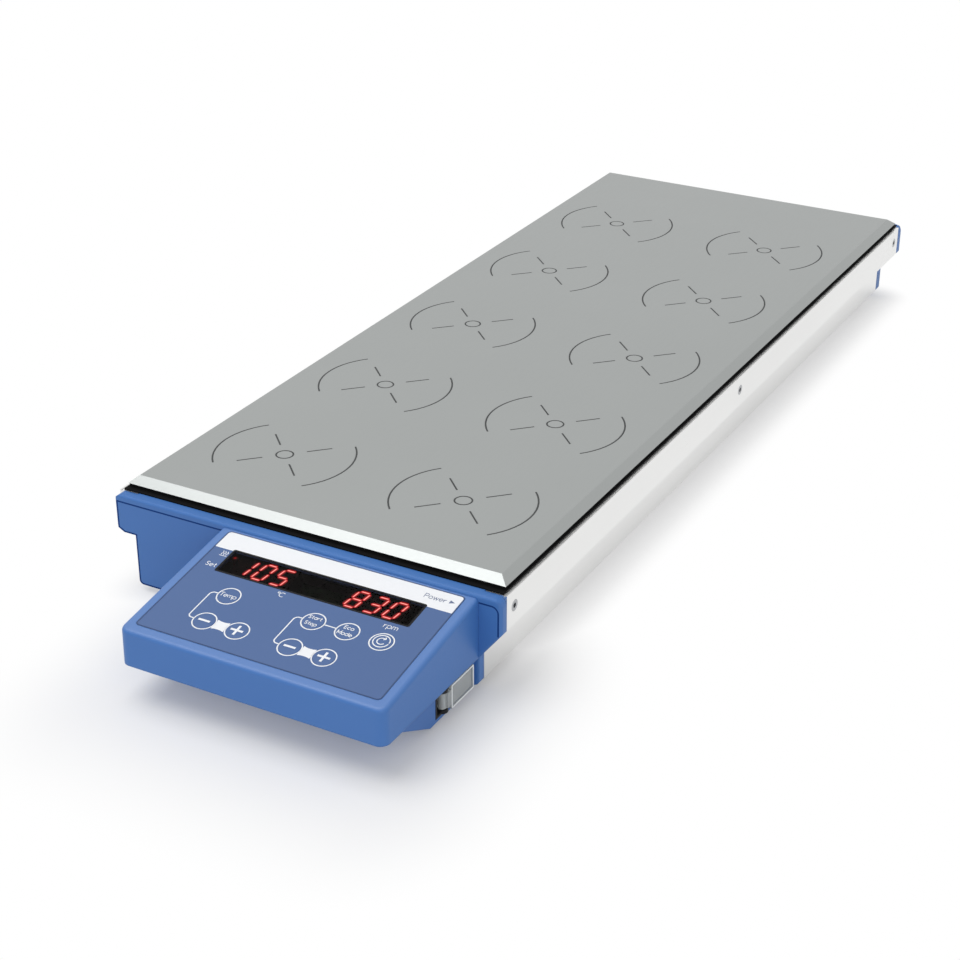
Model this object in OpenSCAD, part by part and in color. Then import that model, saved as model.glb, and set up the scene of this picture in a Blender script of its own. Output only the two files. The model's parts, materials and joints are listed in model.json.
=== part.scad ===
// Multi-position magnetic stirrer: a long steel plate with stirring positions over fixed drive coils,
// on aluminium side rails, with a sloped keypad console at the front.
// Millimetres. +Z up, +Y towards the rear, origin under the middle of the part at floor level.

/* [Stirring positions] */
// Columns of stirring positions
stir_cols = 2; // [2:1:3]
// Rows of stirring positions
stir_rows = 5; // [3:1:7]
// Distance between columns
pitch_x = 90; // [86:1:100]
// Distance between rows
pitch_y = 85; // [75:1:100]

/* [Top plate] */
// From the outer column to the plate's side edge
plate_side_margin = 47.3; // [44:0.1:60]
// From the first row to the plate's front edge
plate_front_margin = 50.4; // [40:0.1:70]
// From the last row to the plate's rear edge
plate_rear_margin = 85.5; // [80:0.5:110]
// Thickness of the plate
plate_t = 3; // [2:0.5:5]
// Width of the bevelled rim
rim_w = 3.9; // [2:0.1:6]
// Radius of the small centre ring, to the middle of its line
mark_ring_r = 3.8; // [3:0.1:6]
// Inner end of the four radial dashes
mark_dash_r0 = 10; // [8:0.5:12]
// Outer end of the four radial dashes
mark_dash_r1 = 21.3; // [16:0.1:25]
// Radius of the two side arcs, to the middle of their line
mark_arc_r = 31.6; // [28:0.1:34]
// Half the angle that each side arc spans
mark_arc_half = 43; // [30:1:48]
// Width of the marks' lines
mark_line = 0.7; // [0.5:0.1:1.4]
// Depth of the marks' inlay
mark_depth = 0.3; // [0.2:0.1:0.6]

/* [Housing] */
// From the plate's side edge to the outside of the side rail
side_gap = 2.1; // [1.6:0.1:5]
// From the rails' front ends to the plate's front edge
plate_front_gap = 3; // [2.5:0.5:5]
// From the plate's rear edge to the rails' rear ends
plate_rear_gap = 0; // [0:0.5:5]
// Height of the seal between the rails and the plate
seal_h = 2.2; // [1.4:0.2:4]
// Width of the seal
seal_w = 4.5; // [3:0.5:5]
// From the plate's edge in to the seal
seal_inset = 0.5; // [0.3:0.1:2]
// Thickness of the seal's foot
seal_foot_t = 0.6; // [0.4:0.1:1]
// How far the seal's foot shows past the plate's sides
seal_foot_side = 0.2; // [0.1:0.1:0.4]
// How far the seal's foot shows past the plate's ends
seal_foot_end = 2.4; // [1:0.1:2.4]
// Height of the rails
rail_h = 40.8; // [38:0.2:50]
// Wall thickness of the rails
rail_t = 2; // [1.5:0.1:2.5]
// Height of the rail's upper wall, above the shoulder
upper_wall_h = 15.7; // [13.5:0.1:18]
// Height of the shoulder's chamfer
shoulder_h = 2.2; // [1.5:0.1:3]
// Width of the shoulder's chamfer
shoulder_w = 4; // [3:0.1:5]
// From the upper wall in to the lower wall
shoulder_in = 10.1; // [9:0.1:14]
// Width of the rail's top lip
top_lip = 9.5; // [8:0.5:11]
// Width of the groove along the rail's top
lip_groove_w = 0.4; // [0.3:0.1:0.5]
// Depth of the groove along the rail's top
lip_groove_d = 0.5; // [0.3:0.1:0.8]
// From the rail's outside in to that groove
lip_groove_in = 0.8; // [0.6:0.1:1]
// Width of the rail's bottom lip
bottom_lip = 20; // [19.5:0.5:22]
// Thickness of the base tray
tray_t = 1.5; // [1:0.1:2]
// Thickness of the front end cap
front_cap_t = 4.5; // [3.5:0.1:7]
// Thickness of the rear end cap
rear_cap_t = 6.2; // [4:0.1:8]
// How far the end caps hang below the rails
cap_drop = 1; // [0.5:0.1:2]
// Radius of the end caps' top corners
cap_corner_r = 4; // [2:0.5:6]
// Bevel on the end caps' outer edges
cap_bevel = 1; // [0.5:0.1:1.5]
// Length of the tongues that reach from the caps into the rails
cap_reach = 12; // [12:0.5:16]
// Thickness of the caps' ledge under the seal
ledge_t = 2.5; // [2:0.1:3]

/* [Console] */
// Width of the console
console_w = 122; // [118:1:130]
// Length of the console, front face to end cap
console_l = 71.6; // [71:0.1:80]
// From the rails' top down to the panel's rear edge
console_top_down = 1.4; // [0.5:0.1:2]
// How far the panel drops from the end cap to the front edge
console_drop = 11.4; // [9:0.1:12]
// Height of the console's front face
console_front_h = 15.9; // [15:0.1:16.5]
// Wall thickness of the console
console_wall = 2.5; // [2:0.1:3]
// Radius of the console's upright corners
console_corner_r = 4.2; // [4.1:0.1:6]
// Radius of the panel's edges
console_edge_r = 2; // [1:0.1:2]
// Thickness of the bottom cover
cover_t = 2; // [1.5:0.1:2.5]
// From the console's front face back to the belly of the cover
belly_setback = 11; // [10:0.5:14]
// From the console's sides in to the belly's sides
belly_side = 1.8; // [1.5:0.1:2.5]
// Slope of the belly's front
belly_slope = 27.5; // [26:0.5:40]

/* [Panel] */
// Width of the overlay film
overlay_w = 112.6; // [110:0.1:114]
// Length of the overlay film, up the slope
overlay_l = 66; // [62:0.1:66.5]
// From the panel's front edge to the overlay
overlay_front = 5.3; // [4:0.1:6]
// Thickness of the overlay
overlay_t = 0.5; // [0.3:0.1:0.8]
// Radius of the overlay's corners
overlay_r = 2; // [1:0.5:5]
// Length of the display window across the panel
window_w = 91.6; // [88:0.1:94]
// Height of the display window
window_l = 15; // [14:0.1:15.4]
// From the overlay's left edge to the window
window_left = 9.3; // [7:0.1:10]
// From the overlay's front edge to the window
window_up = 41; // [40.5:0.1:42]
// Thickness of the window
window_t = 1.5; // [1:0.1:1.8]
// Height of a digit
digit_h = 11.6; // [9:0.1:11.6]
// Width of a digit
digit_w = 6.5; // [5:0.1:7]
// Distance between digits
digit_pitch = 8.8; // [8:0.1:9]
// Width of a lit segment
segment_w = 1.5; // [1:0.1:1.7]
// Slant of the digits
digit_slant = 11; // [0:1:14]
// Length of a digit module
module_w = 28; // [27.5:0.5:29.5]

/* [Keys] */
// Diameter of a key
key_d = 8.6; // [7:0.1:9]
// Distance between neighbouring keys
key_pitch = 15.5; // [14.5:0.1:16]
// Distance between the two rows of keys
key_row_pitch = 16.8; // [14:0.1:17]
// From the overlay's left edge to the first key
key_left = 24.7; // [20:0.1:26]
// From the overlay's front edge to the front row of keys
key_up = 12.5; // [11:0.1:13]
// From the temperature keys to the speed keys
key_group = 40; // [36:0.5:42]
// Travel of a key
key_travel = 0.4; // [0.2:0.05:0.45]
// How far a key stands out of the overlay
key_proud = 0.2; // [0.1:0.05:0.4]

/* [Mains switch] */
// Length of the switch's frame
switch_l = 27.4; // [27:0.2:29]
// Height of the switch's frame
switch_h = 10.8; // [10.4:0.1:11]
// Length of the opening for the rocker
rocker_open_l = 18; // [17:0.1:19]
// Height of the opening for the rocker
rocker_open_h = 6.8; // [6:0.1:7]
// Half the rocker's length
rocker_half = 7.8; // [7:0.1:8]
// Half the rocker's swing
rocker_half_swing = 10; // [7:1:11]
// Radius of the rocker's pin
rocker_pin_r = 1; // [0.8:0.1:1.2]
// Radius of the flap's pin
flap_pin_r = 0.8; // [0.6:0.1:0.9]
// Depth of the tray in the switch's frame
switch_recess = 4; // [3.8:0.1:5]
// Thickness of the flap
flap_t = 1.2; // [1:0.1:1.4]

/* [Mains inlet] */
// Across the part, from its middle to the inlet
inlet_x = 52; // [40:1:54]
// Width of the inlet's face
inlet_face_w = 31; // [30:0.5:34]
// Height of the inlet's face
inlet_face_h = 23; // [22:0.5:25]
// Thickness of the inlet's face
inlet_face_t = 1.5; // [1:0.1:2]
// Width of the inlet's body
inlet_body_w = 26.8; // [26.5:0.1:28]
// Height of the inlet's body
inlet_body_h = 19.6; // [19.2:0.1:20.5]
// Length of the inlet's body
inlet_body_l = 22.5; // [20:0.5:25]
// Width of the socket
socket_w = 24.2; // [24:0.1:24.6]
// Height of the socket
socket_h = 16.4; // [16.2:0.1:16.8]
// Depth of the socket
socket_depth = 17; // [16:0.5:18]
// Corner cut of the socket
socket_cut = 4; // [3:0.1:5]
// Length of the blades inside the socket
blade_l = 12; // [11:0.1:12]

/* [Inside] */
// Thickness of the foil heater
heater_t = 0.8; // [0.5:0.1:1.5]
// From the plate's edge in to the heater and the insulation
heater_margin = 10; // [9:0.5:14]
// Thickness of the insulation
insulation_t = 3; // [2:0.1:3.2]
// Half the distance between a position's coils
coil_offset = 11; // [10.5:0.1:12]
// Diameter of a coil's core
core_d = 10; // [7:0.5:12]
// Outside diameter of a coil's winding
winding_d = 20; // [16:0.5:20.5]
// Length of a coil's winding
winding_l = 17; // [14:0.5:17.5]
// Height of the yoke plate above the base tray
yoke_lift = 12.5; // [11.5:0.1:13]
// Thickness of the yoke plate
yoke_t = 2; // [1.5:0.1:3]
// From the outer rows to the ends of the yoke plate
yoke_end = 25; // [24:0.5:27]
// Thickness of the circuit boards
board_t = 1.6; // [1:0.1:2]
// Height of the circuit boards above the base tray
board_lift = 2; // [1.5:0.1:3]
// Width of the supply board
supply_w = 100; // [90:1:110]
// Height of the transformer
transformer_h = 24; // [18:0.5:26]
// Side of the transformer
transformer_side = 34; // [28:0.5:36]
// Diameter of a smoothing capacitor
capacitor_d = 16; // [10:0.5:18]
// Height of a smoothing capacitor
capacitor_h = 22; // [15:0.5:24]
// Radius of the mains wiring loom
loom_r = 2; // [1.2:0.1:2]

/* [Feet and screws] */
// Height of the feet below the rails
foot_h = 4; // [3:0.5:8]
// Diameter of the feet
foot_d = 14; // [12:0.5:15]
// From the rails' ends to the feet
foot_end = 25; // [20:1:40]
// Radius of the foot screws
foot_screw_r = 2; // [1.5:0.1:2]
// Radius of the side screws
side_screw_r = 1.5; // [1.2:0.1:1.8]
// Head radius of the side screws
side_head_r = 2.5; // [2.2:0.1:3]
// From the rails' ends to the side screws
side_screw_end = 6.5; // [6:0.5:9]
// From the rails' top down to the side screws
side_screw_down = 7.2; // [6:0.1:8]
// Radius of the console's screws
small_screw_r = 1.25; // [1:0.05:1.4]

/* [Fits] */
// Clearance between fixed pieces that slide together
fit = 0.3; // [0.2:0.05:0.4]
// Clearance of screws, pins and inlays in their holes
pin_fit = 0.05; // [0.02:0.01:0.08]
// Clearance round the moving keys
key_fit = 0.3; // [0.2:0.05:0.4]

/* [Hidden] */
$fn = 48;

// Heights
z_tray = foot_h + rail_t;
z_floor = z_tray + tray_t;
z_rail_top = foot_h + rail_h;
z_plate = z_rail_top + seal_h;
z_top = z_plate + plate_t;
z_cap = foot_h - cap_drop;
z_shoulder = z_rail_top - upper_wall_h;
z_step = z_shoulder - shoulder_h;
z_yoke = z_floor + yoke_lift;
z_core = z_yoke + yoke_t;
z_insulation = z_plate - heater_t - insulation_t;
z_board = z_floor + board_lift;
z_board_top = z_board + board_t;

// Widths
plate_w = (stir_cols - 1) * pitch_x + 2 * plate_side_margin;
upper_hw = plate_w / 2 + side_gap;
lower_hw = upper_hw - shoulder_in;
heater_hw = plate_w / 2 - heater_margin;
yoke_side_gap = 1.5;
yoke_hw = lower_hw - rail_t - yoke_side_gap;
console_x1 = lower_hw;
console_x0 = console_x1 - console_w;
console_cx = (console_x0 + console_x1) / 2;
belly_x0 = console_x0 + belly_side;
belly_x1 = console_x1 - belly_side;
foot_in = 12.5;
foot_x = lower_hw - foot_in;
loom_gap = 1;
loom_x = lower_hw - rail_t - loom_r - loom_gap;

// Lengths, from the console's front face to the rear end cap
plate_l = (stir_rows - 1) * pitch_y + plate_front_margin + plate_rear_margin;
rail_l = plate_l + plate_front_gap + plate_rear_gap;
part_l = console_l + front_cap_t + rail_l + rear_cap_t;
y_front = -part_l / 2;
y_cap = y_front + console_l;
y_rail0 = y_cap + front_cap_t;
y_rail1 = y_rail0 + rail_l;
y_rear = y_rail1 + rear_cap_t;
y_plate0 = y_rail0 + plate_front_gap;
y_plate1 = y_rail1 - plate_rear_gap;
y_row0 = y_plate0 + plate_front_margin;
y_row1 = y_plate1 - plate_rear_margin;
y_yoke0 = y_row0 - yoke_end;
y_yoke1 = y_row1 + yoke_end;
y_mid = (y_rail0 + y_rail1) / 2;

// Console and its panel
panel_tilt = atan(console_drop / console_l);
z_panel_top = z_rail_top - console_top_down;
z_panel = z_panel_top - console_drop;
z_parting = z_panel - console_front_h;
z_cover = z_parting + cover_t;
y_belly = y_front + belly_setback;
overlay_x0 = -overlay_w / 2;
key_hole_r = key_d / 2 + key_fit;
key_flange_r = key_d / 2 + 1;
key_gap = 0.3;
key_flange_t = 0.6;
key_stem = 0.6;
z_key_stop = -console_wall - key_gap;
z_key_foot = z_key_stop - key_flange_t - key_stem;
plunger_r = 1.5;
plunger_h = 0.5;
plunger_gap = 0.1;
tact_h = 3;
z_tact = z_key_foot - key_travel - plunger_gap - plunger_h - tact_h;
display_side = 9.5;
display_w = console_w - 2 * display_side;
display_low = 6;
display_y0 = overlay_front + display_low;
display_y1 = overlay_front + window_up + window_l + fit;

// Key names with their column, row and group on the panel
KEYS = [
  ["key_temp", 0, 1, 0], ["key_temp_minus", 0, 0, 0], ["key_temp_plus", 1, 0, 0],
  ["key_start_stop", 0, 1, 1], ["key_eco", 1, 1, 1], ["key_reverse", 2, 1, 1],
  ["key_speed_minus", 0, 0, 1], ["key_speed_plus", 1, 0, 1],
];

// Lit segments of the shown digits: top, upper right, lower right, bottom, lower left, upper left, middle
SEGMENTS = [
  [1, 1, 1, 1, 1, 1, 0], [0, 1, 1, 0, 0, 0, 0], [1, 1, 0, 1, 1, 0, 1], [1, 1, 1, 1, 0, 0, 1],
  [0, 1, 1, 0, 0, 1, 1], [1, 0, 1, 1, 0, 1, 1], [1, 0, 1, 1, 1, 1, 1], [1, 1, 1, 0, 0, 0, 0],
  [1, 1, 1, 1, 1, 1, 1], [1, 1, 1, 1, 0, 1, 1],
];
LEFT_READING = [1, 0, 5];
RIGHT_READING = [8, 3, 0];

BLUE = [0.30, 0.45, 0.70];
DEEP_BLUE = [0.25, 0.41, 0.66];
STEEL = [0.66, 0.67, 0.67];
ALUMINIUM = [0.83, 0.84, 0.85];
BLACK = [0.05, 0.05, 0.06];
BOARD_GREEN = [0.10, 0.36, 0.22];
COPPER = [0.72, 0.43, 0.24];

// Helpers

// A box between two corners
module block(low, high) {
  translate(low) cube(high - low);
}

// Carries an outline drawn in X and Z along Y
module along_y(y0, y1) {
  translate([0, y1, 0]) rotate([90, 0, 0]) linear_extrude(y1 - y0) children();
}

// Carries an outline drawn in Y and Z along X
module along_x(x0, x1) {
  translate([x0, 0, 0]) rotate([90, 0, 90]) linear_extrude(x1 - x0) children();
}

// A rectangle with round corners, centred
module rounded_rect(w, l, r) {
  square([w - 2 * r, l], center = true);
  square([w, l - 2 * r], center = true);
  for (sx = [-1, 1], sy = [-1, 1])
    translate([sx * (w / 2 - r), sy * (l / 2 - r)]) circle(r);
}

// Puts children at every stirring position
module each_position() {
  for (c = [0 : stir_cols - 1], r = [0 : stir_rows - 1])
    translate([(c - (stir_cols - 1) / 2) * pitch_x, y_row0 + r * pitch_y, 0]) children();
}

// Puts children at a position's four coils
module each_coil() {
  each_position()
    for (sx = [-1, 1], sy = [-1, 1])
      translate([sx * coil_offset, sy * coil_offset, 0]) children();
}

// Sloped panel: x from the console's middle, y up the slope from the front edge, z out of the panel
module on_panel() {
  translate([console_cx, y_front, z_panel]) rotate([panel_tilt, 0, 0]) children();
}

// Recess for the overlay in the panel, and in whatever the overlay's rear end reaches
module overlay_recess() {
  on_panel()
    translate([0, overlay_front + overlay_l / 2, -overlay_t])
      linear_extrude(5) rounded_rect(overlay_w + 2 * pin_fit, overlay_l + 2 * pin_fit, overlay_r);
}

// Puts children at one key's place on the panel
module at_key(key) {
  on_panel()
    translate([overlay_x0 + key_left + key[1] * key_pitch + key[3] * key_group,
               overlay_front + key_up + key[2] * key_row_pitch, 0]) children();
}

// Puts children at the middle of the display window on the panel
module at_window() {
  on_panel()
    translate([overlay_x0 + window_left + window_w / 2, overlay_front + window_up + window_l / 2, 0])
      children();
}

// A countersunk screw, its head's face at z = 0 and its shank down to z = -l
module countersunk(r, head_r, l, grow) {
  cone_h = head_r - r;
  translate([0, 0, -cone_h]) cylinder(r1 = r + grow, r2 = head_r + grow, h = cone_h);
  translate([0, 0, -l]) cylinder(r = r + grow, h = l);
}

// Top plate and its marks

module mark_outline(grow) {
  half_line = mark_line / 2 + grow;
  difference() {
    circle(mark_ring_r + half_line);
    circle(mark_ring_r - half_line);
  }
  dash_l = mark_dash_r1 - mark_dash_r0 + 2 * grow;
  for (a = [45 : 90 : 315])
    rotate(a) translate([mark_dash_r0 - grow, -half_line]) square([dash_l, 2 * half_line]);
  arc_reach = 2 * mark_arc_r;
  arc_side = arc_reach * tan(mark_arc_half) + grow;
  for (a = [0, 180])
    rotate(a) intersection() {
      difference() {
        circle(mark_arc_r + half_line);
        circle(mark_arc_r - half_line);
      }
      polygon([[-grow, 0], [arc_reach, -arc_side], [arc_reach, arc_side]]);
    }
}

module top_plate() {
  color(STEEL) difference() {
    intersection() {
      along_y(y_plate0, y_plate1)
        polygon([[-plate_w / 2, z_plate], [plate_w / 2, z_plate],
                 [plate_w / 2 - rim_w, z_top], [-plate_w / 2 + rim_w, z_top]]);
      along_x(-plate_w / 2, plate_w / 2)
        polygon([[y_plate0, z_plate], [y_plate1, z_plate],
                 [y_plate1 - rim_w, z_top], [y_plate0 + rim_w, z_top]]);
    }
    translate([0, 0, z_top - mark_depth])
      each_position() linear_extrude(mark_depth + 1) mark_outline(pin_fit);
  }
}

module position_marks() {
  color(BLACK)
    translate([0, 0, z_top - mark_depth]) each_position() linear_extrude(mark_depth) mark_outline(0);
}

// A wall under the plate on a thin foot that shows round its edge
module plate_seal() {
  seal_x = plate_w / 2 - seal_inset;
  edge_x = plate_w / 2 + seal_foot_side;
  color(BLACK) difference() {
    union() {
      block([-seal_x, y_plate0 + seal_inset, z_rail_top], [seal_x, y_plate1 - seal_inset, z_plate]);
      block([-edge_x, y_plate0 - seal_foot_end, z_rail_top],
            [edge_x, y_plate1 + seal_foot_end, z_rail_top + seal_foot_t]);
    }
    block([-seal_x + seal_w, y_plate0 + seal_inset + seal_w, z_rail_top - 1],
          [seal_x - seal_w, y_plate1 - seal_inset - seal_w, z_plate + 1]);
  }
}

// Heater and what senses it

sensor_w = 8;
sensor_l = 24;
sensor_y = y_row0 + pitch_y / 2;
cutout_r = 7;
cutout_y = y_row0 + 1.5 * pitch_y;

module heater_foil() {
  color([0.75, 0.40, 0.20])
    block([-heater_hw, y_plate0 + heater_margin, z_plate - heater_t],
          [heater_hw, y_plate1 - heater_margin, z_plate]);
}

module insulation_sheet() {
  color([0.86, 0.84, 0.78]) difference() {
    block([-heater_hw, y_plate0 + heater_margin, z_insulation],
          [heater_hw, y_plate1 - heater_margin, z_insulation + insulation_t]);
    block([-sensor_w / 2 - fit, sensor_y - sensor_l / 2 - fit, z_insulation - 1],
          [sensor_w / 2 + fit, sensor_y + sensor_l / 2 + fit, z_plate]);
    translate([0, cutout_y, z_insulation - 1]) cylinder(r = cutout_r + fit, h = insulation_t + 2);
  }
}

module plate_sensor() {
  color("silver")
    block([-sensor_w / 2, sensor_y - sensor_l / 2, z_insulation],
          [sensor_w / 2, sensor_y + sensor_l / 2, z_insulation + insulation_t]);
}

module thermal_cutout() {
  color("dimgray")
    translate([0, cutout_y, z_insulation]) cylinder(r = cutout_r, h = insulation_t);
}

// Housing

side_screw_z = z_rail_top - side_screw_down;
side_screw_l = 9;
side_screw_ys = [y_rail0 + side_screw_end, y_mid, y_rail1 - side_screw_end];
foot_ys = [y_rail0 + foot_end, y_rail1 - foot_end];
lip_x = upper_hw - top_lip;

// Right-hand rail in X and Z: grooved top lip, upper wall, shoulder, lower wall, bottom lip
module rail_outline() {
  inner_step = z_step + rail_t;
  groove_x = upper_hw - lip_groove_in;
  groove_z = z_rail_top - lip_groove_d;
  polygon([
    [lip_x, z_rail_top], [groove_x - lip_groove_w, z_rail_top], [groove_x - lip_groove_w, groove_z],
    [groove_x, groove_z], [groove_x, z_rail_top], [upper_hw, z_rail_top],
    [upper_hw, z_shoulder], [upper_hw - shoulder_w, z_step],
    [lower_hw, z_step], [lower_hw, foot_h], [lower_hw - bottom_lip, foot_h],
    [lower_hw - bottom_lip, z_tray], [lower_hw - rail_t, z_tray], [lower_hw - rail_t, inner_step],
    [upper_hw - shoulder_w - rail_t / 4, inner_step], [upper_hw - rail_t, z_shoulder + rail_t / 2],
    [upper_hw - rail_t, z_rail_top - rail_t], [lip_x, z_rail_top - rail_t],
  ]);
}

module right_rail() {
  difference() {
    along_y(y_rail0, y_rail1) rail_outline();
    for (y = side_screw_ys)
      translate([upper_hw, y, side_screw_z]) rotate([0, 90, 0])
        countersunk(side_screw_r, side_head_r, side_screw_l, pin_fit);
    for (y = foot_ys)
      translate([foot_x, y, foot_h - 1]) cylinder(r = foot_screw_r + pin_fit, h = rail_t + 2);
  }
}

module side_rail_right() {
  color(ALUMINIUM) right_rail();
}

module side_rail_left() {
  color(ALUMINIUM) mirror([1, 0, 0]) right_rail();
}

module base_tray() {
  tray_hw = lower_hw - rail_t - fit;
  color(ALUMINIUM) difference() {
    block([-tray_hw, y_rail0 + fit, z_tray], [tray_hw, y_rail1 - fit, z_floor]);
    for (sx = [-1, 1], y = foot_ys)
      translate([sx * foot_x, y, z_tray - 1]) cylinder(r = foot_screw_r + pin_fit, h = tray_t + 2);
  }
}

// Corner arc from angle a0 to a0 + 90, as points in X and Z
function corner_arc(x, z, r, a0) = [for (a = [a0 : 10 : a0 + 90]) [x + r * cos(a), z + r * sin(a)]];

// Where the right-hand side of an end cap's outline steps in: the plain shoulder, or a straight gusset
function plain_side() = [[lower_hw, z_step], [upper_hw - shoulder_w, z_step], [upper_hw, z_shoulder]];
function gusset_side() = [[lower_hw, z_parting], [upper_hw, z_shoulder]];

cap_bottom_r = 2;
tongue_in = 0.5;
ledge_clear = 1;

module cap_outline(right_side) {
  r = cap_corner_r;
  foot_r = cap_bottom_r;
  polygon(concat(
    [[upper_hw - shoulder_w, z_step], [lower_hw, z_step]] * [[-1, 0], [0, 1]],
    corner_arc(-lower_hw + foot_r, z_cap + foot_r, foot_r, 180),
    corner_arc(lower_hw - foot_r, z_cap + foot_r, foot_r, 270),
    right_side,
    corner_arc(upper_hw - r, z_rail_top - r, r, 0),
    corner_arc(-upper_hw + r, z_rail_top - r, r, 90),
    [[-upper_hw, z_shoulder]]
  ));
}

// Bevels the top and side edges of an end cap's outer face at y
module cap_bevels(y) {
  reach = 2 * upper_hw;
  for (place = [[0, z_rail_top, 0], [upper_hw, z_shoulder, 90], [-upper_hw, z_shoulder, 90]])
    translate([place[0], y, place[1]]) rotate([0, place[2], 0]) rotate([45, 0, 0])
      cube([reach, cap_bevel * sqrt(2), cap_bevel * sqrt(2)], center = true);
}

// Ledge under the seal, up to the heater, and tongues inside the rails, from the cap's inner face at y
module cap_inside(y, inward, plate_gap) {
  ledge_y = y + inward * (plate_gap + heater_margin - ledge_clear);
  tongue_y = y + inward * cap_reach;
  block([-lip_x + fit, min(y, ledge_y), z_rail_top - ledge_t], [lip_x - fit, max(y, ledge_y), z_rail_top]);
  for (side = [0, 1])
    mirror([side, 0, 0])
      block([lip_x + tongue_in, min(y, tongue_y), z_shoulder + rail_t + fit],
            [upper_hw - rail_t - fit, max(y, tongue_y), z_rail_top - rail_t - fit]);
}

// Pilot holes for the side screws in what they grip
module side_screw_holes() {
  for (side = [0, 1], y = side_screw_ys)
    mirror([side, 0, 0])
      translate([upper_hw, y, side_screw_z]) rotate([0, 90, 0])
        countersunk(side_screw_r, side_head_r, side_screw_l, pin_fit);
}

// Opening for the cables between the housing and the console, and the screws that hold the console
cable_slot_left = 29;
cable_slot_side = 13;
cable_slot_low = 0.5;
cable_slot_h = 25;
cable_slot_x = [console_cx - cable_slot_left, console_x1 - cable_slot_side];
cable_slot_z = [z_floor - cable_slot_low, z_floor - cable_slot_low + cable_slot_h];
screw_in = 3;
console_screw_up = 4.6;
console_screw_down = 9.4;
console_screw_xs = [console_x0 + console_wall + screw_in, console_x1 - console_wall - screw_in];
console_screw_zs = [z_cover + console_screw_up, z_panel_top - console_screw_down];
console_boss_r = 3.4;
console_boss_l = 10;

module front_end_cap() {
  color(BLUE) difference() {
    union() {
      along_y(y_cap, y_rail0) cap_outline(gusset_side());
      cap_inside(y_rail0, 1, plate_front_gap);
    }
    cap_bevels(y_cap);
    overlay_recess();
    block([cable_slot_x[0], y_cap - 1, cable_slot_z[0]], [cable_slot_x[1], y_rail0 + 1, cable_slot_z[1]]);
    for (x = console_screw_xs, z = console_screw_zs)
      translate([x, y_rail0 + 1, z]) rotate([90, 0, 0])
        cylinder(r = small_screw_r + pin_fit, h = front_cap_t + 2);
    side_screw_holes();
  }
}

inlet_z = (z_cap + z_rail_top) / 2;
inlet_face_r = 2;

module rear_end_cap() {
  color(BLUE) difference() {
    union() {
      along_y(y_rail1, y_rear) cap_outline(plain_side());
      cap_inside(y_rail1, -1, plate_rear_gap);
    }
    cap_bevels(y_rear);
    translate([inlet_x, 0, inlet_z]) {
      along_y(y_rear - inlet_face_t, y_rear + 1)
        rounded_rect(inlet_face_w + fit, inlet_face_h + fit, inlet_face_r);
      along_y(y_rail1 - 1, y_rear) square([inlet_body_w + fit, inlet_body_h + fit], center = true);
    }
    side_screw_holes();
  }
}

// Drive coils

module yoke_plate() {
  color("dimgray") block([-yoke_hw, y_yoke0, z_yoke], [yoke_hw, y_yoke1, z_core]);
}

module yoke_spacers() {
  spacer_r = 3;
  spacer_in = 8;
  color("goldenrod")
    for (sx = [-1, 1], y = [y_yoke0 + spacer_in, (y_yoke0 + y_yoke1) / 2, y_yoke1 - spacer_in])
      translate([sx * (yoke_hw - spacer_in), y, z_floor]) cylinder(r = spacer_r, h = yoke_lift);
}

module yoke_brackets() {
  leg_w = 6;
  half_l = 6;
  z_head = z_rail_top - rail_t - fit;
  color(ALUMINIUM) difference() {
    for (side = [0, 1])
      mirror([side, 0, 0]) {
        block([yoke_hw - leg_w, y_mid - half_l, z_core], [yoke_hw, y_mid + half_l, z_head]);
        block([yoke_hw - leg_w, y_mid - half_l, z_shoulder + rail_t + fit],
              [upper_hw - rail_t - fit, y_mid + half_l, z_head]);
      }
    side_screw_holes();
  }
}

module coil_cores() {
  color("gray") translate([0, 0, z_core]) each_coil() cylinder(d = core_d, h = z_insulation - z_core);
}

module coil_windings() {
  winding_bore = core_d + 2 * pin_fit;
  color(COPPER)
    translate([0, 0, z_core])
      each_coil() difference() {
        cylinder(d = winding_d, h = winding_l);
        translate([0, 0, -1]) cylinder(d = winding_bore, h = winding_l + 2);
      }
}

// Circuit boards on the base tray

drive_in = 14;
drive_front = 24;
drive_rear = 10;
drive_hw = yoke_hw - drive_in;
drive_y0 = y_row0 - drive_front;
drive_y1 = y_row1 + drive_rear;
supply_in = 5;
supply_gap = 4;
supply_end = 1.5;
supply_x0 = -yoke_hw + supply_in;
supply_y0 = y_yoke1 + supply_gap;
supply_y1 = y_rail1 - cap_reach - supply_end;
supply_cy = (supply_y0 + supply_y1) / 2;
board_inset = 4;

module drive_board() {
  color(BOARD_GREEN) block([-drive_hw, drive_y0, z_board], [drive_hw, drive_y1, z_board_top]);
}

module driver_modules() {
  driver = [20, 14, 5];
  color(BLACK) each_position() translate([-driver[0] / 2, -driver[1] / 2, z_board_top]) cube(driver);
}

module supply_board() {
  color(BOARD_GREEN) block([supply_x0, supply_y0, z_board], [supply_x0 + supply_w, supply_y1, z_board_top]);
}

module board_spacers() {
  spacer_r = 3;
  color("goldenrod") {
    for (sx = [-1, 1], y = [drive_y0 + board_inset, drive_y1 - board_inset])
      translate([sx * (drive_hw - board_inset), y, z_floor]) cylinder(r = spacer_r, h = board_lift);
    for (x = [supply_x0 + board_inset, supply_x0 + supply_w - board_inset],
         y = [supply_y0 + board_inset, supply_y1 - board_inset])
      translate([x, y, z_floor]) cylinder(r = spacer_r, h = board_lift);
  }
}

supply_part_gap = 6;
transformer_x = supply_x0 + supply_part_gap + transformer_side / 2;
capacitor_x = transformer_x + transformer_side / 2 + supply_part_gap + capacitor_d / 2;
heatsink_x = capacitor_x + capacitor_d / 2 + supply_part_gap;
heatsink_t = 4;
fuse_x = heatsink_x + heatsink_t + supply_part_gap;
fuse_r = 2.6;

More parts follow.
